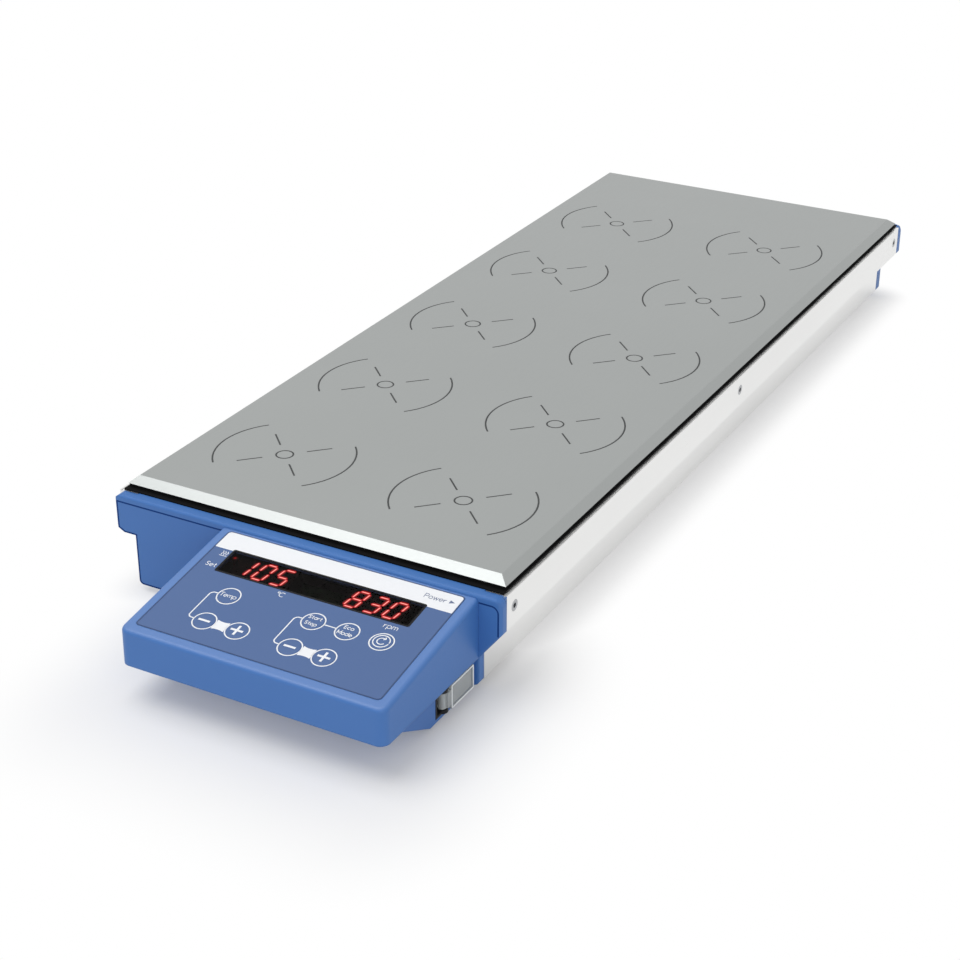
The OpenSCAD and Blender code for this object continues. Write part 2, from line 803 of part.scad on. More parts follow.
module mains_transformer() {
  core_w = 0.6 * transformer_side;
  color([0.75, 0.62, 0.20]) {
    translate([transformer_x - core_w / 2, supply_cy - transformer_side / 2, z_board_top])
      cube([core_w, transformer_side, transformer_h]);
    translate([transformer_x - transformer_side / 2, supply_cy - core_w / 2, z_board_top])
      cube([transformer_side, core_w, transformer_h - 3]);
  }
}

module smoothing_capacitors() {
  color([0.15, 0.17, 0.30])
    for (sy = [-1, 1])
      translate([capacitor_x, supply_cy + sy * (capacitor_d / 2 + 1), z_board_top])
        cylinder(d = capacitor_d, h = capacitor_h);
}

module supply_heatsink() {
  fin_l = 32;
  fin_h = 18;
  color(ALUMINIUM)
    translate([heatsink_x, supply_cy - fin_l / 2, z_board_top]) cube([heatsink_t, fin_l, fin_h]);
}

module mains_fuse() {
  fuse_l = 20;
  clip_l = 4;
  color("silver") {
    translate([fuse_x + fuse_r, supply_cy + fuse_l / 2, z_board_top + fuse_r + 1])
      rotate([90, 0, 0]) cylinder(r = fuse_r, h = fuse_l);
    for (y = [-fuse_l / 2, fuse_l / 2 - clip_l])
      translate([fuse_x, supply_cy + y, z_board_top]) cube([2 * fuse_r, clip_l, fuse_r + 1]);
  }
}

// Mains inlet, its blades and the wiring

BLADES = [[-7, -2], [7, -2], [0, 2]];
blade_w = 2;
blade_h = 4;
blade_tail = 7;
y_socket = y_rear - socket_depth;
y_inlet_back = y_rear - inlet_face_t - inlet_body_l;

module socket_outline() {
  w = socket_w / 2;
  h = socket_h / 2;
  polygon([[-w, h], [w, h], [w, socket_cut - h], [w - socket_cut, -h],
           [socket_cut - w, -h], [-w, socket_cut - h]]);
}

module blade_outline(grow) {
  for (b = BLADES) translate(b) square([blade_w + 2 * grow, blade_h + 2 * grow], center = true);
}

module mains_inlet() {
  color(BLACK) translate([inlet_x, 0, inlet_z]) difference() {
    union() {
      along_y(y_rear - inlet_face_t, y_rear) rounded_rect(inlet_face_w, inlet_face_h, inlet_face_r);
      along_y(y_inlet_back, y_rear - inlet_face_t) square([inlet_body_w, inlet_body_h], center = true);
    }
    along_y(y_socket, y_rear + 1) socket_outline();
    along_y(y_inlet_back - 1, y_rear) blade_outline(pin_fit);
  }
}

module inlet_blades() {
  color("silver")
    translate([inlet_x, 0, inlet_z]) along_y(y_inlet_back - blade_tail, y_socket + blade_l) blade_outline(0);
}

// A round cable through points, with a sleeve ball a little fatter than the cable at each bend
module cable(points, r) {
  sleeve_r = r + 0.2;
  for (i = [0 : len(points) - 2]) {
    step = points[i + 1] - points[i];
    translate(points[i])
      rotate([0, acos(step[2] / norm(step)), atan2(step[1], step[0])]) cylinder(r = r, h = norm(step));
  }
  for (i = [1 : len(points) - 2]) translate(points[i]) sphere(sleeve_r);
}

// Mains switch, let into the belly's right flank
frame_t = 1.2;
switch_x = belly_x1 - switch_recess - frame_t;
switch_body_x = 15;
switch_end = 3.6;
switch_y1 = y_cap - switch_end;
switch_y0 = switch_y1 - switch_l;
switch_up = 0.3;
switch_z = (z_cap + z_parting) / 2 + switch_up;
body_wall = 1;
rocker_end = 2;
rocker_in = 2.3;
rocker_y = switch_y1 - rocker_end - rocker_open_l / 2;
rocker_x = switch_x - rocker_in;
switch_back = switch_x - switch_body_x;

module wiring_loom() {
  z_run = z_floor + loom_r + fit;
  z_end = inlet_z - inlet_body_h / 2 + loom_r + loom_gap;
  turn = 20;
  lead = 6;
  entry = 5;
  color(BLACK) cable([
    [switch_back, rocker_y, switch_z],
    [switch_back - lead, rocker_y, switch_z],
    [switch_back - lead, y_rail0 + entry, z_run],
    [loom_x, y_rail0 + turn, z_run],
    [loom_x, y_inlet_back - 1.5 * turn, z_run],
    [inlet_x, y_inlet_back - blade_tail - entry, z_end],
    [inlet_x, y_inlet_back, z_end],
  ], loom_r);
}

// Ribbon between the drive board and the display board, from header to header
ribbon_w = 25;
ribbon_t = 1;
ribbon_x = console_cx;
header_l = 8;
header_h = 6;
header_side = 2;
header_up = 47;
header_y = overlay_front + header_up;
header_z = z_tact - board_t - header_h;
header_rear_y = drive_y0 + header_side;
header_end = header_y + header_l;
y_ribbon_front = y_front + header_end * cos(panel_tilt) - header_z * sin(panel_tilt) + fit;
z_ribbon_front = z_panel + header_end * sin(panel_tilt) + (header_z + header_h / 3) * cos(panel_tilt);
z_ribbon_rear = z_board_top + header_h / 2;

module ribbon_cable() {
  rear = header_rear_y - fit;
  level = 6;
  top = [[y_ribbon_front, z_ribbon_front], [y_rail0 + level, z_ribbon_front],
         [rear - level, z_ribbon_rear], [rear, z_ribbon_rear]];
  under = [for (i = [len(top) - 1 : -1 : 0]) top[i] - [0, ribbon_t]];
  color([0.55, 0.57, 0.60])
    along_x(ribbon_x - ribbon_w / 2, ribbon_x + ribbon_w / 2) polygon(concat(top, under));
}

module ribbon_headers() {
  header = [ribbon_w + 2 * header_side, header_l, header_h];
  color(BLACK) {
    translate([ribbon_x - header[0] / 2, header_rear_y, z_board_top]) cube(header);
    on_panel() translate([-header[0] / 2, header_y, header_z]) cube(header);
  }
}

// Console

// Outer form: round upright corners at the front, round edges along the panel
module console_outer() {
  rc = console_corner_r;
  re = console_edge_r;
  thin = 0.01;
  hull() {
    for (sx = [-1, 1]) {
      corner_x = console_cx + sx * (console_w / 2 - rc);
      edge_x = console_cx + sx * (console_w / 2 - re);
      on_panel()
        translate([sx * (console_w / 2 - rc), rc, -re])
          rotate_extrude($fn = 32) translate([rc - re, 0]) circle(re, $fn = 24);
      translate([corner_x, y_front + rc, z_parting]) cylinder(r = rc, h = 1, $fn = 32);
      translate([edge_x, y_cap, z_panel_top - re]) rotate([90, 0, 0]) cylinder(r = re, h = thin, $fn = 24);
      translate([edge_x - re, y_cap - thin, z_parting]) cube([2 * re, thin, 1]);
    }
  }
}

// Space inside the walls and under the panel
module console_cavity() {
  t = console_wall;
  drop = t / cos(panel_tilt);
  slope = tan(panel_tilt);
  along_x(console_x0 + t, console_x1 - t)
    polygon([[y_front + t, z_parting - 1], [y_front + t, z_panel + t * slope - drop],
             [y_cap + 1, z_panel_top + slope - drop], [y_cap + 1, z_parting - 1]]);
}

cover_screw_xs = [console_x0 + console_wall + screw_in, console_cx, console_x1 - console_wall - screw_in];
cover_screw_in = 2.5;
cover_screw_y = y_front + console_wall + cover_screw_in;
cover_screw_l = 8;
cover_head_r = 2.2;
cover_boss_r = 3;
display_boss_r = 2.5;
display_screw_down = 4.2;
display_screw_xs = [-display_w / 2 + screw_in, display_w / 2 - screw_in];
display_screw_ys = [display_y0 + screw_in, overlay_front + window_up - display_screw_down];
display_screw_l = 6;
boss_sink = 1;

module console_bosses() {
  for (x = cover_screw_xs)
    translate([x, cover_screw_y, z_cover])
      cylinder(r = cover_boss_r, h = z_panel - z_cover - console_wall + boss_sink);
  for (x = console_screw_xs, z = console_screw_zs)
    translate([x, y_cap, z]) rotate([90, 0, 0]) cylinder(r = console_boss_r, h = console_boss_l);
  on_panel()
    for (x = display_screw_xs, y = display_screw_ys)
      translate([x, y, z_tact]) cylinder(r = display_boss_r, h = -z_tact - console_wall + boss_sink);
}

window_seat = 0.5;

module window_outline(grow) {
  square([window_w + 2 * grow, window_l + 2 * grow], center = true);
}

module console_shell() {
  color(BLUE) difference() {
    union() {
      difference() {
        console_outer();
        console_cavity();
      }
      console_bosses();
    }
    overlay_recess();
    at_window() translate([0, 0, -window_t]) linear_extrude(5) window_outline(pin_fit);
    at_window() translate([0, 0, -console_wall - 1]) linear_extrude(5) window_outline(-window_seat);
    for (key = KEYS) at_key(key) translate([0, 0, -console_wall - 1]) cylinder(r = key_hole_r, h = 5);
    for (x = cover_screw_xs)
      translate([x, cover_screw_y, z_cover - 1]) cylinder(r = small_screw_r + pin_fit, h = cover_screw_l);
    for (x = console_screw_xs, z = console_screw_zs)
      translate([x, y_cap + 1, z]) rotate([90, 0, 0])
        cylinder(r = small_screw_r + pin_fit, h = console_boss_l - 1);
    on_panel()
      for (x = display_screw_xs, y = display_screw_ys)
        translate([x, y, z_tact - 1]) cylinder(r = small_screw_r + pin_fit, h = display_screw_l - 1.5);
  }
}

// Y of the belly's sloped front at height z, moved in by a wall
function belly_y(z, wall) = y_belly + (z_parting - z) / tan(belly_slope) + wall / sin(belly_slope);

module console_cover() {
  x0 = console_x0 + console_wall + fit;
  x1 = console_x1 - console_wall - fit;
  color(DEEP_BLUE) difference() {
    union() {
      block([x0, y_front + console_wall + fit, z_parting], [x1, y_cap, z_cover]);
      along_x(belly_x0, belly_x1)
        polygon([[belly_y(z_parting, 0), z_parting], [belly_y(z_cap, 0), z_cap],
                 [y_cap, z_cap], [y_cap, z_parting]]);
    }
    along_x(x0 + cover_t, x1 - cover_t)
      polygon([[belly_y(z_cover + 1, cover_t), z_cover + 1],
               [belly_y(z_cap + cover_t, cover_t), z_cap + cover_t],
               [y_cap + 1, z_cap + cover_t], [y_cap + 1, z_cover + 1]]);
    for (x = cover_screw_xs)
      translate([x, cover_screw_y, z_parting]) rotate([180, 0, 0])
        countersunk(small_screw_r, cover_head_r, cover_screw_l, pin_fit);
    for (x = console_screw_xs)
      translate([x, y_cap + 1, console_screw_zs[0]]) rotate([90, 0, 0])
        cylinder(r = console_boss_r + fit, h = console_boss_l + 2);
    hole_h = (switch_h + fit) / 2;
    block([switch_x - fit, switch_y0 - fit, switch_z - hole_h],
          [belly_x1 + 1, switch_y1 + fit, switch_z + hole_h]);
  }
}

// Panel

module keypad_overlay() {
  color([0.36, 0.45, 0.64]) difference() {
    on_panel()
      translate([0, overlay_front + overlay_l / 2, -overlay_t])
        linear_extrude(overlay_t) rounded_rect(overlay_w, overlay_l, overlay_r);
    at_window() translate([0, 0, -2]) linear_extrude(5) window_outline(pin_fit);
    for (key = KEYS) at_key(key) translate([0, 0, -2]) cylinder(r = key_hole_r, h = 5);
  }
}

module display_window() {
  color([0.10, 0.02, 0.03, 0.6])
    at_window() translate([0, 0, -window_t]) linear_extrude(window_t) window_outline(0);
}

segment_t = 0.1;
left_reading_in = 19.1;
right_reading_in = 19.7;
reading_up = 0.5;
module_gap = 0.7;
module_l = window_l - 2 * (window_seat + module_gap);
reading_xs = [left_reading_in - window_w / 2, window_w / 2 - right_reading_in];

module digit_modules() {
  color(BLACK) at_window()
    for (x = reading_xs)
      translate([x - module_w / 2, reading_up - module_l / 2, z_tact])
        cube([module_w, module_l, -window_t - segment_t - z_tact]);
}

// A lit segment with pointed ends, lying along X or standing along Y
function segment_points(l, upright) =
  let (w = segment_w / 2, h = l / 2)
  [for (p = [[-h, 0], [w - h, w], [h - w, w], [h, 0], [h - w, -w], [w - h, -w]]) upright ? [p[1], p[0]] : p];

// One digit's lit segments, slanted, its middle at the origin
module digit(lit) {
  gap = 0.3;
  x = (digit_w - segment_w) / 2;
  y = (digit_h - segment_w) / 2;
  places = [[0, y, false], [x, y / 2, true], [x, -y / 2, true], [0, -y, false],
            [-x, -y / 2, true], [-x, y / 2, true], [0, 0, false]];
  for (i = [0 : 6])
    if (lit[i]) {
      place = places[i];
      l = (place[2] ? y : 2 * x) - gap;
      polygon([for (p = segment_points(l, place[2]))
        [place[0] + p[0] + (place[1] + p[1]) * tan(digit_slant), place[1] + p[1]]]);
    }
}

module digit_segments() {
  readings = [LEFT_READING, RIGHT_READING];
  color("red") at_window()
    translate([0, 0, -window_t - segment_t]) linear_extrude(segment_t)
      for (r = [0, 1], i = [0 : 2])
        translate([reading_xs[r] + (i - 1) * digit_pitch, reading_up]) digit(SEGMENTS[readings[r][i]]);
}

module status_lamp() {
  lamp_r = 1.4;
  lamp_in = 2.4;
  lamp_down = 3.5;
  color("red")
    at_window() translate([-window_w / 2 + lamp_in, window_l / 2 - lamp_down, z_tact])
      cylinder(r = lamp_r, h = -window_t - segment_t - z_tact);
}

module display_board() {
  color(BOARD_GREEN) difference() {
    on_panel()
      translate([-display_w / 2, display_y0, z_tact - board_t])
        cube([display_w, display_y1 - display_y0, board_t]);
    on_panel()
      for (x = display_screw_xs, y = display_screw_ys)
        translate([x, y, z_tact - board_t - 1]) cylinder(r = small_screw_r + pin_fit, h = board_t + 2);
  }
}

module controller_chip() {
  chip = [14, 14, 1.6];
  chip_up = 14;
  color(BLACK)
    on_panel() translate([-chip[0] / 2, display_y0 + chip_up, z_tact - board_t - chip[2]]) cube(chip);
}

module tact_switches() {
  side = 6;
  color("dimgray")
    for (key = KEYS)
      at_key(key) {
        translate([-side / 2, -side / 2, z_tact]) cube([side, side, tact_h]);
        translate([0, 0, z_tact + tact_h]) cylinder(r = plunger_r, h = plunger_h);
      }
}

// One key: a round cap in its hole, a flange that keeps it in and a foot over its switch
module panel_key(name) {
  key = KEYS[search([name], KEYS)[0]];
  color(BLUE) at_key(key) {
    translate([0, 0, z_key_stop]) cylinder(d = key_d, h = key_proud - z_key_stop);
    translate([0, 0, z_key_stop - key_flange_t]) cylinder(r = key_flange_r, h = key_flange_t);
    translate([0, 0, z_key_foot]) cylinder(r = plunger_r, h = key_stem);
  }
}

// Mains switch

tray_wall = 1;
flap_x = belly_x1 + fit;
flap_pin_in = 1.3;
flap_pin_end = 6.7;
flap_pin_x = flap_x - flap_pin_in;
flap_pin_y = switch_y0 + flap_pin_end;
knuckle_r = 2;
ear_t = 1.6;
ear_r = 2.4;
pin_seat = 0.8;
rocker_pin_l = rocker_open_h + 2 * pin_seat;

module switch_frame() {
  half_h = switch_h / 2;
  contact_block = 4;
  color(BLACK) difference() {
    union() {
      difference() {
        block([switch_x, switch_y0, switch_z - half_h], [belly_x1, switch_y1, switch_z + half_h]);
        block([switch_x + frame_t, switch_y0 + tray_wall, switch_z - half_h + tray_wall],
              [belly_x1 + 1, switch_y1 - tray_wall, switch_z + half_h - tray_wall]);
      }
      block([switch_back, rocker_y - rocker_open_l / 2 - body_wall, switch_z - rocker_open_h / 2 - body_wall],
            [switch_x, rocker_y + rocker_open_l / 2 + body_wall, switch_z + rocker_open_h / 2 + body_wall]);
      for (z = [switch_z - half_h, switch_z + half_h - ear_t])
        translate([0, flap_pin_y, z]) {
          translate([flap_pin_x, 0, 0]) cylinder(r = ear_r, h = ear_t);
          translate([switch_x + frame_t, -ear_r, 0])
            cube([flap_pin_x - switch_x - frame_t, 2 * ear_r, ear_t]);
        }
    }
    block([switch_back + contact_block, rocker_y - rocker_open_l / 2, switch_z - rocker_open_h / 2],
          [switch_x + frame_t + 1, rocker_y + rocker_open_l / 2, switch_z + rocker_open_h / 2]);
    translate([rocker_x, rocker_y, switch_z - rocker_pin_l / 2])
      cylinder(r = rocker_pin_r + pin_fit, h = rocker_pin_l);
    translate([flap_pin_x, flap_pin_y, switch_z - half_h - 1])
      cylinder(r = flap_pin_r + pin_fit, h = switch_h + 2);
  }
}

module power_rocker() {
  crest_in = 0.2;
  crest = switch_x + frame_t - rocker_x - crest_in;
  rise = rocker_half * tan(rocker_half_swing);
  half_l = rocker_half;
  hub = 2.2;
  lip = 1.5;
  rocker_h = rocker_open_h - 2 * fit;
  color([0.12, 0.12, 0.13])
    translate([rocker_x, rocker_y, switch_z - rocker_h / 2]) rotate([0, 0, -rocker_half_swing])
      difference() {
        linear_extrude(rocker_h)
          polygon([[crest, 0], [crest + rise, half_l], [lip, half_l], [-hub, hub],
                   [-hub, -hub], [lip, -half_l], [crest + rise, -half_l]]);
        translate([0, 0, -1]) cylinder(r = rocker_pin_r + pin_fit, h = rocker_h + 2);
      }
}

module rocker_pin() {
  color("silver")
    translate([rocker_x, rocker_y, switch_z - rocker_pin_l / 2]) cylinder(r = rocker_pin_r, h = rocker_pin_l);
}

module flap_pin() {
  color("silver")
    translate([flap_pin_x, flap_pin_y, switch_z - switch_h / 2]) cylinder(r = flap_pin_r, h = switch_h);
}

module switch_flap() {
  x1 = flap_x + flap_t;
  y0 = flap_pin_y + ear_r + 2 * fit;
  half_h = switch_h / 2;
  border = 1;
  dish = 0.4;
  knuckle_h = switch_h - 2 * ear_t - 2 * fit;
  color([0.85, 0.88, 0.90, 0.5]) difference() {
    union() {
      difference() {
        block([flap_x, y0, switch_z - half_h], [x1, switch_y1, switch_z + half_h]);
        block([x1 - dish, y0 + border, switch_z - half_h + border],
              [x1 + 1, switch_y1 - border, switch_z + half_h - border]);
      }
      translate([0, 0, switch_z - knuckle_h / 2]) {
        block([flap_x, flap_pin_y, 0], [x1, y0, knuckle_h]);
        translate([flap_pin_x, flap_pin_y, 0]) cylinder(r = knuckle_r, h = knuckle_h);
      }
    }
    translate([flap_pin_x, flap_pin_y, switch_z - half_h]) cylinder(r = flap_pin_r + pin_fit, h = switch_h);
  }
}

// Feet and screws

foot_recess = 2;
foot_head_r = 3.4;

module feet() {
  color(BLACK)
    for (sx = [-1, 1], y = foot_ys)
      translate([sx * foot_x, y, 0]) difference() {
        cylinder(d = foot_d, h = foot_h);
        translate([0, 0, -1]) cylinder(r = foot_head_r + fit, h = foot_recess + 1);
        translate([0, 0, -1]) cylinder(r = foot_screw_r + pin_fit, h = foot_h + 2);
      }
}

module foot_screws() {
  head_h = 1.5;
  thread_out = 1.5;
  color("silver")
    for (sx = [-1, 1], y = foot_ys)
      translate([sx * foot_x, y, 0]) {
        translate([0, 0, foot_recess - head_h]) cylinder(r = foot_head_r, h = head_h);
        translate([0, 0, foot_recess]) cylinder(r = foot_screw_r, h = z_floor + thread_out - foot_recess);
      }
}

module side_screws() {
  socket_r = 1.2;
  socket_h = 1.2;
  color("silver")
    for (side = [0, 1], y = side_screw_ys)
      mirror([side, 0, 0])
        translate([upper_hw, y, side_screw_z]) rotate([0, 90, 0]) difference() {
          countersunk(side_screw_r, side_head_r, side_screw_l - 1, 0);
          translate([0, 0, -socket_h]) cylinder(r = socket_r, h = 2 * socket_h, $fn = 6);
        }
}

module console_screws() {
  head_r = 2.6;
  head_h = 2;
  color("silver")
    for (x = console_screw_xs, z = console_screw_zs)
      translate([x, y_rail0, z]) rotate([90, 0, 0]) {
        translate([0, 0, -head_h]) cylinder(r = head_r, h = head_h);
        cylinder(r = small_screw_r, h = front_cap_t + console_boss_l - 3);
      }
}

module cover_screws() {
  color("silver")
    for (x = cover_screw_xs)
      translate([x, cover_screw_y, z_parting]) rotate([180, 0, 0])
        countersunk(small_screw_r, cover_head_r, cover_screw_l - 1, 0);
}

module board_screws() {
  head_r = 2.3;
  head_h = 1.6;
  color("silver") on_panel()
    for (x = display_screw_xs, y = display_screw_ys)
      translate([x, y, z_tact - board_t]) {
        translate([0, 0, -head_h]) cylinder(r = head_r, h = head_h);
        cylinder(r = small_screw_r, h = board_t + display_screw_l - 3);
      }
}

top_plate();
position_marks();
plate_seal();
heater_foil();
insulation_sheet();
plate_sensor();
thermal_cutout();
side_rail_left();
side_rail_right();
base_tray();
front_end_cap();
rear_end_cap();
yoke_plate();
yoke_spacers();
yoke_brackets();
coil_cores();
coil_windings();
drive_board();
board_spacers();
driver_modules();
supply_board();
mains_transformer();
smoothing_capacitors();
supply_heatsink();
mains_fuse();
mains_inlet();
inlet_blades();
wiring_loom();
ribbon_cable();
ribbon_headers();
console_shell();
console_cover();
keypad_overlay();
display_window();
digit_modules();
digit_segments();
status_lamp();
display_board();
controller_chip();
tact_switches();
panel_key("key_temp");  // key_temp
panel_key("key_temp_minus");  // key_temp_minus
panel_key("key_temp_plus");  // key_temp_plus
panel_key("key_start_stop");  // key_start_stop
panel_key("key_eco");  // key_eco
panel_key("key_reverse");  // key_reverse
panel_key("key_speed_minus");  // key_speed_minus
panel_key("key_speed_plus");  // key_speed_plus
switch_frame();
power_rocker();
rocker_pin();
switch_flap();
flap_pin();
feet();
foot_screws();
side_screws();
console_screws();
cover_screws();
board_screws();
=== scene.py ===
# %% [markdown]
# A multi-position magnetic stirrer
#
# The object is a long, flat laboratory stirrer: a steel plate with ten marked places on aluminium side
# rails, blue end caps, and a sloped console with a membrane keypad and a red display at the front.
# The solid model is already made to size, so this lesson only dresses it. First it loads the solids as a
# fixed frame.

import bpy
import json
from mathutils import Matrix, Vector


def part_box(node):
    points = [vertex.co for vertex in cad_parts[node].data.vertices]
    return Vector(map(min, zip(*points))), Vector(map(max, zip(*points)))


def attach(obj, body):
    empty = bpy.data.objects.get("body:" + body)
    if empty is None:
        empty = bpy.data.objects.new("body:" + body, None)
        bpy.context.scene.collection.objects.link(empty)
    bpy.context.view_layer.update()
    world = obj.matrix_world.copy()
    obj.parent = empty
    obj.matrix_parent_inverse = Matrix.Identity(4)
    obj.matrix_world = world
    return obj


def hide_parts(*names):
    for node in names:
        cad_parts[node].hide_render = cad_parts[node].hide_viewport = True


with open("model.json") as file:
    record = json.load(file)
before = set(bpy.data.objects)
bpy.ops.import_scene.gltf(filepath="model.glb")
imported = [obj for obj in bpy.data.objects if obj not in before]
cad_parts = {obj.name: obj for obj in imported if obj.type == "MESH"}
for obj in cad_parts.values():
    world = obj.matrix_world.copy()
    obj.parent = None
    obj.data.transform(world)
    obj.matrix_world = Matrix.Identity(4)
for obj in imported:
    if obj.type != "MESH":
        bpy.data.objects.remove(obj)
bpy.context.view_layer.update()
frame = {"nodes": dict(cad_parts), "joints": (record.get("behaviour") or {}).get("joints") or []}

import json
import math

import bpy
import numpy as np
from mathutils import Vector

MM = 0.001
scene = bpy.context.scene
scene.view_settings.view_transform = "Standard"

# %% [markdown]
# The camera
#
# The camera stands where the picture was taken from: front right, about a metre from the object's middle
# and 0.44 m above the bench. Its place and focal length were solved from the regular grid of stirring
# places, which works like a calibration chart. A long lens keeps the perspective mild.

# %% Camera
IMAGE_SIDE = 960  # the picture is square, with this many pixels each way
FOCAL_PIXELS = 1977.34  # the focal length in those pixels
CAMERA_AT = Vector((0.406, -0.791, 0.436))
AZIMUTH = math.radians(28.887)
ELEVATION = math.radians(27.124)

towards_camera = Vector((
    math.sin(AZIMUTH) * math.cos(ELEVATION),
    -math.cos(AZIMUTH) * math.cos(ELEVATION),
    math.sin(ELEVATION),
))
camera = bpy.data.objects.new("photo_camera", bpy.data.cameras.new("photo_camera"))
camera.data.lens = camera.data.sensor_width * FOCAL_PIXELS / IMAGE_SIDE
camera.location = CAMERA_AT
camera.rotation_euler = (-towards_camera).to_track_quat("-Z", "Y").to_euler()
scene.collection.objects.link(camera)
scene.camera = camera
print("lens of", round(camera.data.lens, 1), "mm")

# %% [markdown]
# Helpers for materials
#
# Every material here is a small graph of nodes, and a few helpers keep the graphs short. One turns a colour
# as it is written on screen into the linear light that the renderer works in, one adds a node with its
# settings and links, and one makes noise with features of a real size. Three more let such a noise mix two
# tones, vary the gloss or raise a relief.


# %% Material helpers
def linear(hex_colour):
    """Linear RGBA of an sRGB hex colour: c / 12.92 up to 0.04045, above it ((c + 0.055) / 1.055) ** 2.4."""
    c = np.array([int(hex_colour[i:i + 2], 16) for i in (1, 3, 5)]) / 255
    light = np.where(c <= 0.04045, c / 12.92, ((c + 0.055) / 1.055) ** 2.4)
    return (*light.tolist(), 1.0)


def add(tree, kind, inputs=None, **settings):
    """Adds a node. Settings are its properties; inputs are its sockets, each a value or an output."""
    made = tree.nodes.new(kind)
    for name, value in settings.items():
        setattr(made, name, value)
    for socket, value in (inputs or {}).items():
        if isinstance(value, bpy.types.NodeSocket):
            tree.links.new(value, made.inputs[socket])
        else:
            made.inputs[socket].default_value = value
    return made


def new_finish(name, sockets):
    """A material with one Principled shader that has those constant values: (material, tree, shader)."""
    material = bpy.data.materials.new(name)
    material.use_nodes = True
    shader = material.node_tree.nodes["Principled BSDF"]
    for socket, value in sockets.items():
        shader.inputs[socket].default_value = value
    return material, material.node_tree, shader


MIX_FACTOR, MIX_A, MIX_B, MIX_RESULT = 0, 6, 7, 2  # sockets of a Mix node that mixes colours


def object_place(tree):
    """Coordinates of the shaded point in its object, in metres."""
    return add(tree, "ShaderNodeTexCoord").outputs["Object"]


def noise(tree, place, size_mm, detail):
    """Noise with features of that size: on coordinates in metres, its scale is one over the size."""
    settings = {"Vector": place, "Scale": 1 / (size_mm * MM), "Detail": detail}
    return add(tree, "ShaderNodeTexNoise", settings).outputs["Fac"]


def mixed(tree, share, first, second):
    """A colour between two others: share 0 gives the first and share 1 the second."""
    return add(tree, "ShaderNodeMix", {MIX_FACTOR: share, MIX_A: first, MIX_B: second},
               data_type="RGBA").outputs[MIX_RESULT]


def two_tones(tree, shader, share, shade, colour):
    """Mixes a shader's colour from two tones."""
    tint = mixed(tree, share, linear(shade), linear(colour))
    tree.links.new(tint, shader.inputs["Base Color"])


def uneven_gloss(tree, shader, share, low, high):
    """Lets a shader's roughness run from low, at share 0, to high, at share 1."""
    sheen = add(tree, "ShaderNodeMapRange", {"Value": share, "To Min": low, "To Max": high})
    tree.links.new(sheen.outputs[0], shader.inputs["Roughness"])


def rounded_edges(tree, radius_mm, samples):
    """Normals that round a solid's sharp edges off by that radius, worked out while rendering."""
    return add(tree, "ShaderNodeBevel", {"Radius": radius_mm * MM}, samples=samples).outputs[0]


def relief(tree, shader, height, strength, depth_mm, normals=None):
    """Raises a relief of that depth on a shader's surface, or on other normals where they are given."""
    inputs = {"Strength": strength, "Distance": depth_mm * MM, "Height": height}
    if normals is not None:
        inputs["Normal"] = normals
    tree.links.new(add(tree, "ShaderNodeBump", inputs).outputs[0], shader.inputs["Normal"])


print("helpers ready")

# %% [markdown]
# The studio
#
# A product picture of this kind is taken on a white sweep under large soft lights. The world is a dim
# white dome that lights everything evenly, and it shows as plain white to the camera, to mirrors and
# through glass. One large softbox hangs over the front left: the plate's front rim mirrors it and turns
# bright, while the flat of the plate mirrors the plain back of the room and stays grey. A second, weaker
# one stands at the front right and lights the two faces that the camera sees alike. The floor is matt and
# pale: beside the object it is partly plain white, so that the soft shadow stays light, and it melts
# into the white within a hand's width.

# %% Studio
DOME_LIGHT = 0.55
SOFTBOX_SIDE = 1.3
SOFTBOX_AT = (-0.55, -0.45, 1.45)
SOFTBOX_WATTS = 13.5
FILL_SIDE = 1.6
FILL_AT = (1.35, -1.65, 0.9)
FILL_AIM = (0, -0.1, 0)
FILL_WATTS = 11.0
FLOOR_HALF = 4.0
FLOOR_DOWN_MM = 0.1  # how far the floor lies under the feet, so that the two don't share a plane
# Share of plain white in the floor close by, and metres across and along to where it is all plain white
HOUSING_MELT = (0.45, 0.024, 0.024)
CONSOLE_MELT = (0.16, 0.060, 0.080)
MELT_START = 0.1  # share of those metres at which the floor begins to whiten


def seen_directly(tree):
    """1 for rays from the camera, from mirrors and through glass, 0 for rays that gather light."""
    path = add(tree, "ShaderNodeLightPath").outputs
    seen = path["Is Camera Ray"]
    for other in ("Is Glossy Ray", "Is Transmission Ray"):
        seen = add(tree, "ShaderNodeMath", {0: seen, 1: path[other]}, operation="MAXIMUM").outputs[0]
    return seen


world = bpy.data.worlds.new("white_dome")
world.use_nodes = True
scene.world = world
sky = world.node_tree
sky.nodes.clear()
dome, white = (add(sky, "ShaderNodeBackground", {"Color": linear("#FFFFFF"), "Strength": strength}).outputs[0]
               for strength in (DOME_LIGHT, 1.0))
shown = add(sky, "ShaderNodeMixShader", {0: seen_directly(sky), 1: dome, 2: white})
add(sky, "ShaderNodeOutputWorld", {"Surface": shown.outputs[0]})


def hang_softbox(name, place, aim, side, watts):
    """A square lamp at a place, turned so that it looks at a point."""
    lamp = bpy.data.lights.new(name, "AREA")
    lamp.shape = "SQUARE"
    lamp.size = side
    lamp.energy = watts
    holder = bpy.data.objects.new(name, lamp)
    holder.location = place
    holder.rotation_euler = (Vector(aim) - Vector(place)).to_track_quat("-Z", "Y").to_euler()
    scene.collection.objects.link(holder)


hang_softbox("top_softbox", SOFTBOX_AT, (*SOFTBOX_AT[:2], 0), SOFTBOX_SIDE, SOFTBOX_WATTS)
hang_softbox("right_softbox", FILL_AT, FILL_AIM, FILL_SIDE, FILL_WATTS)

